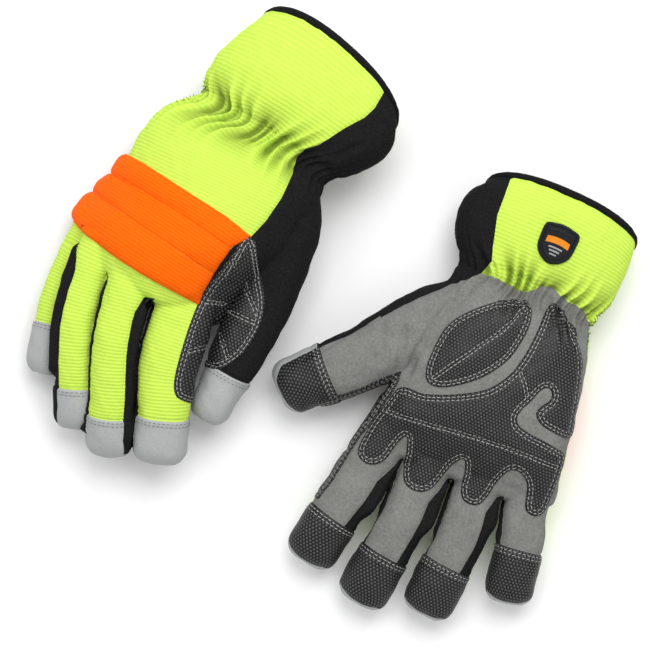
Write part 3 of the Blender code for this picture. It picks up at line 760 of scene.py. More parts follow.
def across_to_other(glove, other, data):
    """Where each point would lie in the other glove's drawing."""
    v, a = data[:, HV], data[:, HA]
    here, there = ([-1.0, *(some["knuckle_at"][d] for d in ("little", "ring", "middle", "index")), 1.0]
                   for some in (glove, other))
    warped = np.interp(a, here, there)
    share = smoothstep(50.0, 5.0, v)
    a = a * (1 - share) + warped * share
    low = other["rows"][0, 0]
    mx, my, ax, ay, lx, ly, half, *_, bow = hand_section(other, np.maximum(v, low))
    ahead = bow * np.sqrt(np.maximum(0, 1 - np.minimum(1, np.abs(a)) ** 2)) + np.minimum(0, v - low)
    out = np.stack([mx + ax * a * half + lx * ahead, my + ay * a * half + ly * ahead], 1)
    gauges = np.stack([data[:, col(d, "gauge")] for d in DIGITS], 1)
    nearest = gauges.argmin(1)
    for k, digit in enumerate(DIGITS):
        left = data[:, col(digit, "left")] * hinge_left(other, digit) / hinge_left(glove, digit)
        line, (_, lateral, _) = other["lines"][digit], other["frames"][digit]
        at = [np.interp(-left, -line[:, 5], line[:, c]) for c in (0, 1, 3)]
        sides = [np.interp(-left, -line[:, 5], lateral[:, c]) for c in (0, 1)]
        spot = np.stack([at[0] + sides[0] * data[:, col(digit, "across")] * at[2],
                         at[1] + sides[1] * data[:, col(digit, "across")] * at[2]], 1)
        if digit == "thumb":
            weight = smoothstep(-3, 3, data[:, HG] - gauges[:, k]) * (nearest == k)
        else:
            weight = smoothstep(-4, -18, v) * (nearest == k)
        out = out * (1 - weight[:, None]) + spot * weight[:, None]
    return out


def ripple(points, scale, seed, count=14):
    """Smooth noise of about one wave per scale, from sines in seeded directions."""
    rng = np.random.default_rng(seed)
    total = np.zeros(len(points))
    for _ in range(count):
        wave = rng.normal(size=points.shape[1])
        wave *= rng.uniform(0.6, 1.4) * 2 * math.pi / scale / np.linalg.norm(wave)
        total += np.sin(points @ wave + rng.uniform(0, 2 * math.pi))
    return total / math.sqrt(count)


def gathers(glove, data):
    """How far the cloth stands out in the folds that the wrist elastic gathers.

    They are fine near the elastic and coarse further out, its two stitch rows are sunk in, and they calm down
    towards the thumb side.
    """
    theta = np.arctan2(data[:, SIDE] / 20.0, data[:, HA])
    arc = theta * 46.0 + glove["seed"] * 11.0
    wander = 1.2 * np.sin(data[:, HV] * 0.11 + arc * 0.09)
    fine = np.sin(arc * 0.95 + 1.7 * np.sin(arc * 0.23) + wander)
    coarse = 1 - 2 * np.abs(np.sin(arc * 0.27 + 1.3 * np.sin(arc * 0.17 + 1.0) + wander * 0.35)) ** 0.8
    off = data[:, HV] - WRIST_V
    near = np.exp(-(off / 6.5) ** 2)
    wide = np.exp(-(np.maximum(0, np.abs(off + 2) - 3) / 12.0) ** 2)
    rows = np.exp(-((off - 4.5) / 1.1) ** 2) + np.exp(-((off + 4.5) / 1.1) ** 2)
    calm = 1 - 0.75 * smoothstep(0.55, 0.9, data[:, HA])
    return calm * (1.4 * fine * near + 2.3 * coarse * wide) - 0.55 * rows * (1 - 0.3 * fine)


def fold(points, line, depth, width):
    """A soft crease along a line in the drawing, with the cloth rising on both sides."""
    far, _ = line_distance(points, line)
    return depth * (0.55 * np.exp(-((far - 1.7 * width) / width) ** 2) - np.exp(-(far / width) ** 2))


def seam_groove(field, depth=0.7, width=0.9):
    return -depth * np.exp(-(field / width) ** 2)


def skin_of(glove, other):
    """The grown body with everything that is known at each point, as (data, triangles)."""
    points, triangles = grow_body(glove)
    points = smoothed(points, np.unique(sides_of(triangles), axis=0), SMOOTHING_ROUNDS)
    data = np.zeros((len(points), WIDTH))
    data[:, :3] = points
    data[:, 3:6] = normals_of(points, triangles)
    a, b, gauge, v = hand_place(glove, points)
    data[:, HA], data[:, HG], data[:, HV] = a, gauge, v
    weights = [np.exp(-np.clip(gauge, -8, 30) / 1.5)]
    ups = [b * np.interp(np.clip(v, glove["rows"][0, 0], 200), glove["rows"][:, 0], glove["rows"][:, 5])]
    for digit in DIGITS:
        a, b, gauge, left = digit_place(glove, digit, points)
        for kind, value in zip(("across", "up", "gauge", "left"), (a, b, gauge, left)):
            data[:, col(digit, kind)] = value
        weights.append(np.exp(-np.clip(gauge, -8, 30) / 1.5))
        ups.append(b * 12.0)
    weights = np.array(weights)
    data[:, SIDE] = (weights * np.array(ups)).sum(0) / weights.sum(0)
    own, far = drawings(glove)
    data[:, far] = across_to_other(glove, other, data)
    data[:, own] = points[:, :2]
    return data, triangles


def strip_field(glove, digit, data, side):
    """How far inside the black strip on a finger's thumb side (0) or little side (1) each point is, mm."""
    halves = glove["strips"][digit][side]
    if halves is None:
        return np.full(len(data), -9.0)
    a, b, left = (data[:, col(digit, kind)] for kind in ("across", "up", "left"))
    slit = glove["slits"][digit][side]
    angle = np.degrees(np.arctan2(b, -a if side else a))
    thin = 0.35 + 0.65 * np.clip(left / 14.0, 0, 1) ** 0.5
    back = halves[0] * thin * np.clip((slit - left) / STRIP_TAPERS[0], 0.0, 1.0) ** 0.45
    palm = halves[1] * thin * np.clip((slit - left) / STRIP_TAPERS[1], 0.0, 1.0) ** 0.7
    field = np.minimum(np.minimum(angle + palm, back - angle) * MM_PER_DEGREE, (left - STRIP_END) * 0.8)
    return np.where(left > slit, -1.0 - (left - slit) * 0.3, field)


def side_field(data):
    """Positive on the back of the glove, with the yellow reaching a little round the outer edge."""
    return data[:, SIDE] + 3.2 * smoothstep(-0.55, -0.9, data[:, HA]) * smoothstep(-14, 0, data[:, HV])


def cuff_black(data):
    """Positive on the black side gusset of the back."""
    return left_of(data[:, BACK_UP_AT], BACK_GUSSET)


def palm_seams(data):
    """Positive past the wrist seam, the cuff's edge and the thumb's edge of the palm."""
    return (left_of(data[:, PALM_UP_AT], line) for line in (PALM_WRIST, PALM_CUFF_EDGE, PALM_THUMB_EDGE))


def shape_skin(glove, data, triangles):
    """Gathers, folds and seam grooves, pressed into the skin along its normals."""
    out = gathers(glove, data)
    # Painted shade: the cloth is painted darker where it sinks into a gather's valley, and a little all along the
    # wrist.
    off = np.maximum(0, np.abs(data[:, HV] - WRIST_V) - 5)
    data[:, SHADE] = np.clip(0.12 - out * 0.34, 0, 1) * np.exp(-(off / 13) ** 2)
    out += (0.22 * ripple(data[:, :3], 17.0, 5 + glove["seed"])
            + 0.10 * ripple(data[:, :3], 7.0, 9 + glove["seed"]))
    back = smoothstep(-1.0, 1.0, side_field(data))
    hand = smoothstep(8, 16, data[:, HV] + 8)
    out += seam_groove(cuff_black(data), 0.6) * back * hand
    palm = 1 - back
    wrist, cuff_edge, thumb_edge = palm_seams(data)
    out += seam_groove(wrist, 0.9, 1.0) * palm * hand
    out += seam_groove(cuff_edge, 0.6) * palm * smoothstep(-1, 2, wrist)
    out += seam_groove(thumb_edge, 0.6) * palm * smoothstep(2, -1, wrist)
    gauges = np.stack([data[:, HG]] + [data[:, col(d, "gauge")] for d in DIGITS], 1)
    for k, digit in enumerate(DIGITS):
        others = np.delete(gauges, k + 1, 1).min(1)
        mine = smoothstep(-0.7, 1.1, others - gauges[:, k + 1])
        left = data[:, col(digit, "left")]
        cap, grip = glove["caps"][digit]
        length = np.where(data[:, SIDE] > 0, cap, grip)
        rise = 0.75 * smoothstep(0.0, 1.0, length - left) + seam_groove(length - left + 0.4, 0.45, 0.8)
        out += rise * mine
        seam = np.full(len(data), 9.0)
        for side in (0, 1):
            field = strip_field(glove, digit, data, side)
            if digit != "thumb":
                inner = smoothstep(-0.3, 1.6, field)
                out -= 0.9 * inner * smoothstep(0, 6, left - length) * mine
                near = k + 2 * side - 1
                if 0 <= near < 4:
                    join = glove["joins"][digit][side]
                    gap = gauges[:, near + 1] + 1.5 * np.maximum(0, 7 - data[:, col(DIGITS[near], "left")])
                    room = np.clip(gap / 2 + 0.4, 0, 4.2) * smoothstep(12.5, 8.0, gap)
                    out += room * inner * smoothstep(join - 8, join + 2, left) * mine
                seam = np.minimum(seam, np.abs(field))
        out += seam_groove(seam, 0.35, 0.7) * mine * (left > length)
        out += seam_groove(data[:, SIDE], 0.5, 0.8) * mine
    facing = smoothstep(0.0, 0.35, data[:, NZ])
    for line, depth, width in glove["folds"]:
        out += fold(data[:, drawings(glove)[0]], line, depth, width) * facing
    data[:, :3] += data[:, 3:6] * out[:, None]
    data[:, 3:6] = normals_of(data[:, :3], triangles)
    data[:, RX:RZ + 1] = data[:, :3] / CLOTH_UNIT
    return data


def refine(data, triangles):
    """Each triangle cut into four."""
    unique, index = np.unique(sides_of(triangles), axis=0, return_inverse=True)
    index = index.reshape(-1) + len(data)
    count = len(triangles)
    ab, bc, ca = index[:count], index[count:2 * count], index[2 * count:]
    a, b, c = triangles.T
    finer = np.vstack([np.stack([a, ab, ca], 1), np.stack([ab, b, bc], 1), np.stack([ca, bc, c], 1),
                       np.stack([ab, bc, ca], 1)])
    return np.vstack([data, (data[unique[:, 0]] + data[unique[:, 1]]) / 2]), finer


def raised(data, triangles, height):
    """The region lifted off the skin by height at each point, with fresh normals."""
    data = data.copy()
    data[:, :3] += data[:, 3:6] * height[:, None]
    data[:, 3:6] = normals_of(data[:, :3], triangles)
    return data


# ---------------------------------------------------------------- pieces and stitches

def make_piece(name, glove, data, triangles, look):
    data, triangles = compact(data, triangles)
    mesh = bpy.data.meshes.new(name)
    mesh.vertices.add(len(data))
    mesh.vertices.foreach_set("co", place(glove, data[:, :3]).astype(np.float32).ravel())
    mesh.loops.add(triangles.size)
    mesh.loops.foreach_set("vertex_index", triangles.astype(np.int32).ravel())
    mesh.polygons.add(len(triangles))
    mesh.polygons.foreach_set("loop_start", (np.arange(len(triangles)) * 3).astype(np.int32))
    mesh.update(calc_edges=True)
    mesh.validate()
    layer = mesh.uv_layers.new(name="cloth")
    layer.data.foreach_set("uv", data[triangles.ravel()][:, [U, V]].astype(np.float32).ravel())
    rest = mesh.attributes.new("rest", "FLOAT_VECTOR", "POINT")
    rest.data.foreach_set("vector", data[:, RX:RZ + 1].astype(np.float32).ravel())
    shade = mesh.attributes.new("shade", "FLOAT", "POINT")
    shade.data.foreach_set("value", data[:, SHADE].astype(np.float32))
    mesh.polygons.foreach_set("use_smooth", np.ones(len(triangles), bool))
    mesh.materials.append(look)
    mesh.normals_split_custom_set_from_vertices(turn_normals(glove, data[:, 3:6]).tolist())
    return add_object(name, mesh)


def contour(data, triangles, field):
    """The lines where the field is zero, as lists of (point, normal) rows."""
    above = field[triangles] > 0
    mixed = triangles[(above.sum(1) > 0) & (above.sum(1) < 3)]
    if not len(mixed):
        return []
    flags = field[mixed] > 0
    ends = []
    for i, j in ((0, 1), (1, 2), (2, 0)):
        cut = flags[:, i] != flags[:, j]
        ends.append((np.nonzero(cut)[0], np.sort(mixed[cut][:, [i, j]], axis=1)))
    rows = np.concatenate([e[0] for e in ends])
    pairs = np.vstack([e[1] for e in ends])
    unique, index = np.unique(pairs, axis=0, return_inverse=True)
    index = index.reshape(-1)
    f0, f1 = field[unique[:, 0]], field[unique[:, 1]]
    t = (f0 / (f0 - f1))[:, None]
    spots = data[unique[:, 0]][:, :6] * (1 - t) + data[unique[:, 1]][:, :6] * t
    order = np.argsort(rows, kind="stable")
    segments = index[order].reshape(-1, 2)
    links = {}
    for a, b in segments:
        links.setdefault(int(a), []).append(int(b))
        links.setdefault(int(b), []).append(int(a))
    lines, seen = [], set()
    starts = [k for k in sorted(links) if len(links[k]) == 1] + sorted(links)
    for start in starts:
        if start in seen:
            continue
        chain, here = [start], start
        seen.add(start)
        while True:
            ahead = [k for k in links[here] if k not in seen]
            if not ahead:
                break
            here = ahead[0]
            seen.add(here)
            chain.append(here)
        if len(chain) > 2:
            if chain[0] in links[chain[-1]] and len(chain) > 8:
                chain.append(chain[0])
            lines.append(spots[chain])
    return lines


# A stitch's outline: (place along it, radius), as shares of its length and of its full radius.
DASH_PROFILE = ((-0.5, 0.0), (-0.42, 0.62), (-0.2, 0.95), (0.2, 0.95), (0.42, 0.62), (0.5, 0.0))


def dashes(lines, pitch=2.75, share=0.68, radius=0.2, lift=0.06):
    """Small rounded stitches lying along the lines, as (data, triangles), or None where none fits.

    Pitch is from one to the next, share is how much of it the thread shows, and radius and lift are its own.
    """
    spots, faces, sides = [], [], 6
    for line in lines:
        gaps = np.linalg.norm(np.diff(line[:, :3], axis=0), axis=1)
        reach = np.concatenate([[0], np.cumsum(gaps)])
        total = reach[-1]
        count = int(total / pitch)
        if count < 1:
            continue
        step = total / count

        def at(distance):
            return np.array([np.interp(distance, reach, line[:, k]) for k in range(6)])

        for k in range(count):
            a, b = at(step * (k + 0.5 - share / 2)), at(step * (k + 0.5 + share / 2))
            middle, normal = (a[:3] + b[:3]) / 2, at(step * (k + 0.5))[3:6]
            normal = normal / max(np.linalg.norm(normal), 1e-9)
            ahead = b[:3] - a[:3]
            length = np.linalg.norm(ahead)
            if length < 0.3 * pitch * share:
                continue
            ahead = ahead / length
            aside = np.cross(normal, ahead)
            base = len(spots)
            for along, wide in DASH_PROFILE:
                for i in range(sides):
                    turn = 2 * math.pi * i / sides
                    rise = lift + 0.16 * (1 - 4 * along * along)
                    spot = (middle + ahead * along * length + aside * math.cos(turn) * wide * radius
                            + normal * (math.sin(turn) * wide * radius * 0.8 + rise))
                    spots.append((*spot, *normal))
            for r in range(len(DASH_PROFILE) - 1):
                for i in range(sides):
                    j = (i + 1) % sides
                    p, q = base + r * sides, base + (r + 1) * sides
                    faces.append((p + i, p + j, q + j))
                    faces.append((p + i, q + j, q + i))
    if not faces:
        return None
    spots = np.array(spots)
    return loose_rows(spots[:, :3], spots[:, 3:]), np.array(faces)


# ---------------------------------------------------------------- building one glove

def limb_split(glove, data, triangles):
    """The skin in its moving parts: {"hand", each digit: (data, triangles)}."""
    out = {}
    thumb_left = data[:, col("thumb", "left")]
    others = np.minimum(data[:, HG], data[:, col("index", "gauge")])
    field = np.minimum(glove["thumb_root"] - thumb_left, others - data[:, col("thumb", "gauge")])
    data, thumb, rest = split(data, triangles, field)
    out["thumb"] = (data, thumb)
    data, fingers, hand = split(data, rest, -left_of(data[:, :2], glove["root"]))
    out["hand"] = (data, hand)
    for near, after in (("index", "middle"), ("middle", "ring"), ("ring", "little")):
        field = data[:, col(after, "gauge")] - data[:, col(near, "gauge")]
        data, mine, fingers = split(data, fingers, field)
        out[near] = (data, mine)
    out["little"] = (data, fingers)
    return {name: compact(some, faces) for name, (some, faces) in out.items()}


def attach(obj, glove, limb):
    """Rides the piece on the hand's body where it is on the hand, and otherwise only bakes its placement into its
    mesh.
    """
    prefix = glove["name"]
    if limb == "hand":
        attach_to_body(obj, prefix + "_hand")
        return
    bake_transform(obj)


def put(glove, name, limb, part, look, nodes=()):
    """Makes one piece in its look, attaches it, and hides the part's nodes that it stands for."""
    if part is None or not len(part[1]):
        return
    obj = make_piece(f"{glove['name']}_{name}", glove, part[0], part[1], LOOKS[look])
    attach(obj, glove, limb)
    if nodes:
        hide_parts(*(f"{glove['name']}_{node}" for node in nodes))


def cap_side(data, digit):
    """Positive on the back's pieces, which turn a little over the tip and, on the thumb, over its edge."""
    left, across = data[:, col(digit, "left")], data[:, col(digit, "across")]
    over = 7.5 * smoothstep(10.0, 2.5, left)
    if digit == "thumb":
        over = over + 8.0 * smoothstep(0.35, 0.9, across) * smoothstep(50, 24, left)
    return data[:, SIDE] + over


def digit_pieces(glove, digit, part):
    """Back, side strips, front, silver cap and dotted grip of one finger or the thumb, with their stitches."""
    data, triangles = part
    left = data[:, col(digit, "left")]
    cap, grip = glove["caps"][digit]
    data = data.copy()
    share = smoothstep(glove["slits"][digit][1] + 4, glove["slits"][digit][1] - 14, left)
    lay_uv(data, data[:, BX], data[:, HV] * (1 - share) + (left - glove["tip_shift"][digit]) * share)
    data, back, front = split(data, triangles, cap_side(data, digit))
    strips = []
    if digit != "thumb":
        for side in (0, 1):
            data, strip, back = split(data, back, strip_field(glove, digit, data, side))
            strips.append(strip)
    data, caps, back = split(data, back, cap - data[:, col(digit, "left")])
    data, grips, front = split(data, front, grip - data[:, col(digit, "left")])
    white, grey = [], []
    for inset in STITCH_ROWS:
        white += contour(data, grips, grip - data[:, col(digit, "left")] - inset)
    for inset in CAP_STITCH_ROWS:
        grey += contour(data, caps, cap - data[:, col(digit, "left")] - inset)
    if digit == "thumb":
        edge = (np.degrees(np.arctan2(data[:, col(digit, "up")], data[:, col(digit, "across")])) + 34) * 0.25
        edge = np.where(data[:, col(digit, "across")] > 0, edge, -6.0)
        data, strip, front = split(data, front, edge)
        strips = [strip, back]
        back = back[:0]
    else:
        for side in (0, 1):
            data, strip, front = split(data, front, strip_field(glove, digit, data, side))
            strips.append(strip)
    black = np.vstack(strips)
    tip = data.copy()
    angle = np.arctan2(tip[:, col(digit, "up")], tip[:, col(digit, "across")])
    lay_uv(tip, angle * 12.5, tip[:, col(digit, "left")])
    replaced = [f"{digit}_back"]
    if len(back):
        put(glove, f"{digit}_back_cloth", digit, (data, back), "yellow", replaced)
        put(glove, f"{digit}_side_strips", digit, (data, black), "black")
    else:
        put(glove, f"{digit}_back_cloth", digit, (data, black), "black", replaced)
    put(glove, f"{digit}_front_suede", digit, (data, front), "grey", [f"{digit}_front"])
    put(glove, f"{digit}_reflective_cap", digit, (tip, caps), "silver", [f"{digit}_tip_cap"])
    put(glove, f"{digit}_grip_cap", digit, (tip, grips), "dots", [f"{digit}_tip_grip"])
    put(glove, f"{digit}_grip_stitches", digit, dashes(white), "thread")
    put(glove, f"{digit}_cap_stitches", digit, dashes(grey, 2.4, 0.7), "thread_grey")


def cut_out(data, triangles, columns, edge, room):
    """The skin inside an outline in the drawing of those columns, where its room is positive too."""
    points = data[:, columns]
    box = ((points > edge.min(0) - 3) & (points < edge.max(0) + 3)).all(1) & (room > -1)
    chosen = triangles[box[triangles].any(1)]
    used = np.unique(chosen)
    field = np.full(len(data), -5.0)
    field[used] = np.minimum(region(points[used], edge), room[used])
    data, mine, _ = split(data, chosen, field)
    return compact(data, mine)


def pad_height(field, thick, pillow):
    """Section of a sewn-on pad from its edge inwards, sunk along its stitch rows."""
    height = thick * (1 - np.exp(-np.maximum(field, 0) / 0.45)) - 0.12
    height = height + pillow * smoothstep(2.5, 12.0, field)
    for row in STITCH_ROWS:
        height = height - 0.38 * np.exp(-((field - row) / 0.75) ** 2)
    return height


def sewn_pad(glove, limbs, name, columns, outline, side, nodes, lines, thick=1.5, pillow=0.8,
             only=DIGITS + ("hand",), reach=3.0):
    """A pad over the skin inside an outline, with a double row of stitches round it and along its lines.

    The columns are those of the outline's drawing, side is 1 on the back and -1 on the palm, and reach is how
    far the pad may go past the side seams.
    """
    edge = loop(outline, 1.0)
    for limb, (data, triangles) in limbs.items():
        if limb not in only:
            continue
        some, mine = cut_out(data, triangles, columns, edge, data[:, SIDE] * side + reach)
        if not len(mine):
            continue
        some, mine = refine(some, mine)
        at = some[:, columns]
        field = np.minimum(region(at, edge), some[:, SIDE] * side + reach)
        height = pad_height(field, thick, pillow)
        distances = [left_of(at, line) for line in lines]
        for signed in distances:
            height -= 0.45 * np.exp(-(signed / 1.3) ** 2) * smoothstep(1.5, 4.0, field)
        lifted = raised(some, mine, height)
        lay_uv(lifted, at[:, 0], at[:, 1])
        if limb == "hand":
            put(glove, name, limb, (lifted, mine), "dots", nodes)
        else:
            put(glove, f"{name}_{limb}", limb, (lifted, mine), "dots", ())
        threads = []
        for inset in STITCH_ROWS:
            threads += contour(lifted, mine, field - inset)
        for signed in distances:
            for offset in (0.9, -0.9):
                near = (np.abs(signed - offset) < 3.0) & (np.abs(signed) < 2.2) & (field > 3.0)
                threads += contour(lifted, mine[near[mine].all(1)], signed - offset)
        put(glove, f"{name}_stitches_{limb}", limb, dashes(threads), "thread")


def knuckle_band(glove, limbs):
    """The orange padded band with its three rolls."""
    data, triangles = limbs["hand"]
    box = (data[:, BY] > -15) & (data[:, BY] < 58) & (data[:, SIDE] > -8)
    chosen = triangles[box[triangles].all(1)]

    def edge_fields(some):
        """How far each point is inside the band's top, bottom, thumb-side and outer edges."""
        at = some[:, BACK_UP_AT]
        outer = some[:, SIDE] + (3.0 if glove["dorsal"] > 0 else -7.0)
        return -left_of(at, BAND_TOP), left_of(at, BAND_BOTTOM), -cuff_black(some) + 0.2, outer

    some, mine, _ = split(data, chosen, np.minimum.reduce(edge_fields(data)))
    some, mine = refine(*compact(some, mine))
    under, over, inner, outer = edge_fields(some)
    edge = np.minimum(under, over)
    at = some[:, BACK_UP_AT]
    near = np.minimum.reduce([line_distance(at, groove)[0] for groove in BAND_GROOVES])
    groove_height = 1 - (1 - np.clip(near / 7.0, 0, 1)) ** 2
    edge_height = 1 - (1 - np.clip(edge / 6.5, 0, 1)) ** 2
    bulge = smoothstep(-0.3, -0.95, some[:, HA])
    height = (1.3 + (2.2 + 0.7 * bulge) * np.sqrt(np.maximum(groove_height, 0)))
    height = height * np.sqrt(np.maximum(edge_height, 0.0)) * (1 - np.exp(-np.maximum(inner, 0) / 2.5))
    height = height * np.sqrt(np.clip(outer / 5.0, 0, 1)) - 0.1
    height += 0.10 * ripple(some[:, :3], 9.0, 3)
    lifted = raised(some, mine, height)
    lay_uv(lifted, at[:, 0], at[:, 1] + 0.16 * at[:, 0])
    put(glove, "knuckle_band", "hand", (lifted, mine), "orange", ["knuckle_pad"])
    threads = dashes(contour(lifted, mine, left_of(at, BAND_GROOVES[1])), 2.6, 0.6, lift=0.0)
    put(glove, "knuckle_band_stitches", "hand", threads, "badge_orange")
    beside = (np.abs(data[:, BY] - 25) < 38) & (data[:, SIDE] > 3) & (cuff_black(data) < -1.5)
    faces = triangles[beside[triangles].all(1)]
    outside = contour(data, faces, left_of(data[:, BACK_UP_AT], BAND_TOP) + 1.6)
    outside += contour(data, faces, left_of(data[:, BACK_UP_AT], BAND_BOTTOM) - 1.6)
    threads = dashes(outside, 2.6, 0.65, 0.22, -0.02)
    put(glove, "band_edge_stitches", "hand", threads, "thread_yellow")


def badge(glove, limbs):
    """A moulded shield with a rim, an arc and plain bars."""
    data, triangles = limbs["hand"]
    edge = loop(BADGE, 0.6)
    some, mine = cut_out(data, triangles, PALM_UP_AT, edge, 2 - data[:, SIDE])
    normal = some[:, 3:6].mean(0)
    normal /= np.linalg.norm(normal)
    some, mine = refine(*refine(some, mine))
    at = some[:, PALM_UP_AT]
    field = region(at, edge)
    some[:, 3:6] = normal
    middle = some[:, :3].mean(0)
    depth = (some[:, :3] - middle) @ normal
    some[:, :3] -= np.outer(depth * 0.6, normal)
    height = 2.3 * np.sqrt(np.clip(field / 0.9, 0, 1)) + 0.1
    height -= 0.5 * smoothstep(1.4, 1.9, field) * (1 - smoothstep(2.2, 2.8, field))
    arc = np.abs(np.hypot(at[:, 0] - BADGE_ARC[0], at[:, 1] - BADGE_ARC[1]) - BADGE_ARC[2])
    height += 0.25 * np.exp(-(arc / 0.4) ** 2) * (field > 2.8)
    lifted = raised(some, mine, height)
    lay_uv(lifted, at[:, 0], at[:, 1])
    bars = []
    for x0, x1, y0, y1, look in BADGE_BARS:
        bow = 0.02 * (at[:, 0] + 1.5) ** 2
        inner = np.minimum.reduce([at[:, 0] - x0, x1 - at[:, 0], at[:, 1] + bow - y0, y1 - at[:, 1] - bow])
        more, bar, _ = split(lifted, mine, inner)
        bars.append((look, raised(more, bar, np.full(len(more), 0.14)), bar))
    put(glove, "badge_shield", "hand", (lifted, mine), "rubber", ["badge"])
    for k, (look, more, bar) in enumerate(bars):
        put(glove, f"badge_bar_{k + 1}", "hand", (more, bar), look)


def grid_faces(rows, columns):
    a = (np.arange(rows - 1)[:, None] * columns + np.arange(columns - 1)[None, :]).ravel()
    return np.vstack([np.stack([a, a + 1, a + columns + 1], 1), np.stack([a, a + columns + 1, a + columns], 1)])


def cuff_lining(glove):
    """The brushed lining inside the cuff, closed past the wrist."""
    theta = np.linspace(0, 360, 145)
    spots = []
    for k, v in enumerate(np.arange(MOUTH_V - 1.0, 60, -2.0)):
        # Deeper in near the wrist, so that it stays inside the gathers.
        inset = 2.6 + 0.9 * min(1.0, k / 4.0) + 5.0 * math.exp(-(max(0.0, abs(v - WRIST_V) - 14) / 10) ** 2)
        spots.append(hand_point(glove, theta, np.full(len(theta), v), -inset))
    middle = spots[-1].mean(0)
    for share in (0.7, 0.35, 0.02):
        spots.append(middle + (spots[-1] - middle) * share)
        spots[-1][:, 1] -= 2.0
    points = np.vstack(spots)
    faces = grid_faces(len(spots), len(theta))
    normals = normals_of(points, faces)
    outward = points - np.array([points[:, 0].mean(), 0, points[:, 2].mean()])
    outward[:, 1] = 0
    if (normals * outward).sum() > 0:
        faces, normals = faces[:, ::-1], -normals
    data = loose_rows(points, normals)
    data[:, :3] += normals * (0.25 * ripple(points, 8.0, 21))[:, None]
    put(glove, "brushed_lining", "hand", (data, faces), "lining", ["hand_liner"])


def mouth_binding(glove):
    """The tape bound round the edge of the cuff's mouth."""
    loops, sides = [], 12
    theta = np.linspace(0, 360, 181)[:-1]
    centre = hand_point(glove, theta, np.full(len(theta), MOUTH_V - 0.6), -1.35)
    ahead = unit(np.roll(centre, -1, 0) - np.roll(centre, 1, 0))
    along = unit(hand_point(glove, theta, np.full(len(theta), MOUTH_V + 3.0), -1.35) - centre)
    out = unit(np.cross(ahead, along))
    if (out * (centre - centre.mean(0))).sum() < 0:
        out = -out
    waver = 1 + 0.05 * np.sin(np.radians(theta) * 19) + 0.04 * np.sin(np.radians(theta) * 31 + 1)
    for k in range(sides + 1):
        turn = 2 * math.pi * k / sides
        c, s = math.cos(turn), math.sin(turn)
        ring = (centre + out * (2.15 * waver * np.sign(c) * abs(c) ** 0.8)[:, None]
                + along * (2.5 * np.sign(s) * abs(s) ** 0.8 - 1.0))
        loops.append(np.vstack([ring, ring[:1]]))
    points = np.vstack(loops)
    faces = grid_faces(len(loops), len(loops[0]))
    outward = points - np.tile(np.vstack([centre, centre[:1]]), (sides + 1, 1))
    if (normals_of(points, faces) * outward).sum() < 0:
        faces = faces[:, ::-1]
    binding = loose_rows(points, unit(outward)), faces
    put(glove, "mouth_binding", "hand", binding, "binding", ["cuff_binding"])


def hand_pieces(glove, part):
    """Cuff, back, palm and side gusset."""
    data, triangles = part
    data = data.copy()
    lay_uv(data, data[:, BX], data[:, HV])
    data, back, front = split(data, triangles, side_field(data))
    data, black, yellow = split(data, back, cuff_black(data))
    data, upper, lower = split(data, front, left_of(data[:, PALM_UP_AT], PALM_WRIST))
    data, dark, light = split(data, upper, -left_of(data[:, PALM_UP_AT], PALM_CUFF_EDGE))
    data, edge, grey = split(data, lower, -left_of(data[:, PALM_UP_AT], PALM_THUMB_EDGE))
    data, cuff, back_cloth = split(data, np.vstack([yellow, light]), data[:, HV] - WRIST_V)
    put(glove, "cuff_cloth", "hand", (data, cuff), "yellow", ["cuff"])
    put(glove, "back_cloth", "hand", (data, back_cloth), "yellow", ["back_panel"])
    put(glove, "side_gusset_fleece", "hand", (data, np.vstack([black, dark, edge])), "black",
        ["side_gusset"])
    put(glove, "palm_suede", "hand", (data, grey), "grey", ["palm_panel"])


def build_glove(name):
    """One glove, from its skin to the pads sewn on it."""
    glove = GLOVES[name]
    other = GLOVES["glove2" if name == "glove1" else "glove1"]
    data, triangles = skin_of(glove, other)
    data = shape_skin(glove, data, triangles)
    data, triangles, _ = split(data, triangles, MOUTH_V - data[:, HV])
    limbs = limb_split(glove, *compact(data, triangles))
    hand_pieces(glove, limbs["hand"])
    for digit in DIGITS:
        digit_pieces(glove, digit, limbs[digit])
    knuckle_band(glove, limbs)
    cuff_lining(glove)
    mouth_binding(glove)
    badge(glove, limbs)
    sewn_pad(glove, limbs, "palm_grip", PALM_UP_AT, PALM_PAD, -1, ["palm_pad"],
             (((-50, -4), (-20, 0), (0, 3), (20, 5.2), (50, 6)), ((8.5, 46), (14, 40), (20, 32))))
    sewn_pad(glove, limbs, "thenar_grip", PALM_UP_AT, THENAR_PAD, -1, ["thenar_pad"],
             (((-35, 21), (-22, 42), (-10, 62), (-2, 80)),), pillow=1.4)
    sewn_pad(glove, limbs, "saddle_grip_hand_side", BACK_UP_AT, SADDLE_HAND, 1, (),
             (((24, -6), (36, -1)), ((27, -36), (37, -27))), 1.2, 0.4, ("hand", "index"), 7.0)
    sewn_pad(glove, limbs, "saddle_grip_thumb_side", BACK_UP_AT, SADDLE_THUMB, 1, (),
             (((44, 14), (60, -3)), ((44, -4), (60, -4)), ((44, -18), (52, -28))), 1.3, 0.6,
             ("thumb", "hand"), 7.0)


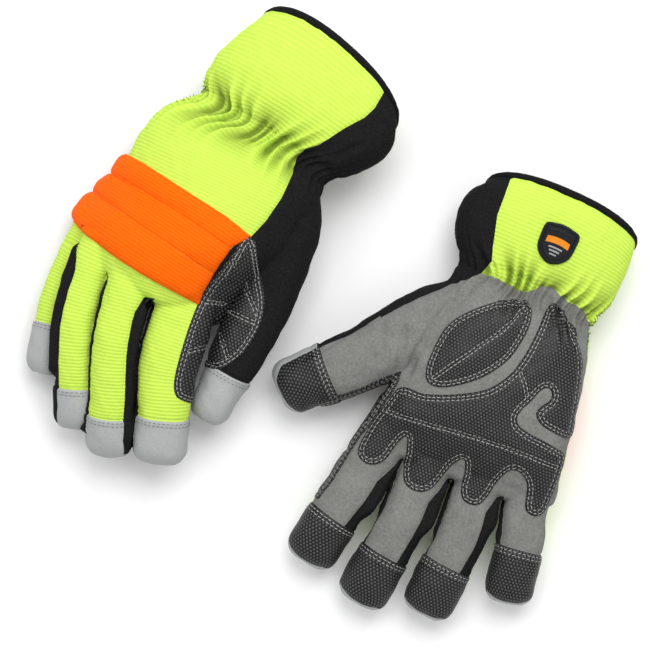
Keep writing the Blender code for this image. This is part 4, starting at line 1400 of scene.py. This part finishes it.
def prepare(name, glove):
    """Adds to a glove's table what is worked out from it."""
    glove["name"] = name
    glove["rows"] = hand_rows(glove)
    glove["pivots"] = {d: np.array(p, float) for d, p in glove["pivots"].items()}
    glove["lines"] = {d: digit_line(glove, d) for d in DIGITS}
    glove["frames"] = {d: digit_frames(glove, d, glove["lines"][d]) for d in DIGITS}
    glove["pivot_ahead"], glove["tip_shift"] = {}, {}
    for digit in DIGITS:
        line, (ahead, _, _) = glove["lines"][digit], glove["frames"][digit]
        row = ((line[:, :3] - glove["pivots"][digit]) ** 2).sum(1).argmin()
        glove["pivot_ahead"][digit] = ahead[row]
        glove["tip_shift"][digit] = line[row, 5] - line[row, 1]
    glove["thumb_root"] = hinge_left(glove, "thumb") + 15.0
    roots = {}
    for digit in ("index", "middle", "ring", "little"):
        here = glove["pivots"][digit] + np.array([0, 16.0, 0])
        roots[digit] = float(np.clip(hand_place(glove, here[None, :])[0][0], -0.95, 0.95))
    glove["knuckle_at"] = roots


for key, value in GLOVES.items():
    prepare(key, value)
for key in GLOVES:
    build_glove(key)


# ---------------------------------------------------------------- floor, light and camera

def floor_and_light():
    made = bpy.data.materials.new("studio_white")
    made.use_nodes = True
    shader = made.node_tree.nodes["Principled BSDF"]
    shader.inputs["Base Color"].default_value = (0.93, 0.93, 0.93, 1)
    shader.inputs["Roughness"].default_value = 0.9
    mesh = bpy.data.meshes.new("studio_floor")
    reach, drop = 3.0, 0.0005
    mesh.from_pydata([(-reach, -reach, -drop), (reach, -reach, -drop), (reach, reach, -drop),
                      (-reach, reach, -drop)], [], [(0, 1, 2, 3)])
    mesh.materials.append(made)
    add_object("studio_floor", mesh)
    world = bpy.data.worlds.new("studio")
    world.use_nodes = True
    world.node_tree.nodes["Background"].inputs["Color"].default_value = (1, 1, 1, 1)
    world.node_tree.nodes["Background"].inputs["Strength"].default_value = 0.58
    bpy.context.scene.world = world
    for name, at, watts in (("key", (0.25, 0.72, 1.3), 15.5), ("fill", (-0.7, 0.5, 1.2), 5.0),
                            ("front", (0.6, -0.7, 1.2), 2.5)):
        light = bpy.data.lights.new(name, "AREA")
        light.size = 1.0
        light.energy = watts
        lamp = add_object(name, light)
        lamp.location = at
        lamp.rotation_euler = (-Vector(at)).to_track_quat("-Z", "Y").to_euler()


def top_camera():
    """Straight above the middle of the layout, as in the photo."""
    height, to_gloves, view_width = 1.5, 1.475, 0.373
    camera = bpy.data.cameras.new("camera")
    camera.sensor_width = 36.0
    camera.lens = camera.sensor_width * to_gloves / view_width
    camera.clip_start = 0.05
    obj = add_object("camera", camera)
    obj.location = (-CENTRE[0] * MM, -CENTRE[1] * MM, height)
    bpy.context.scene.camera = obj


floor_and_light()
top_camera()
bpy.context.scene.view_settings.view_transform = "Standard"
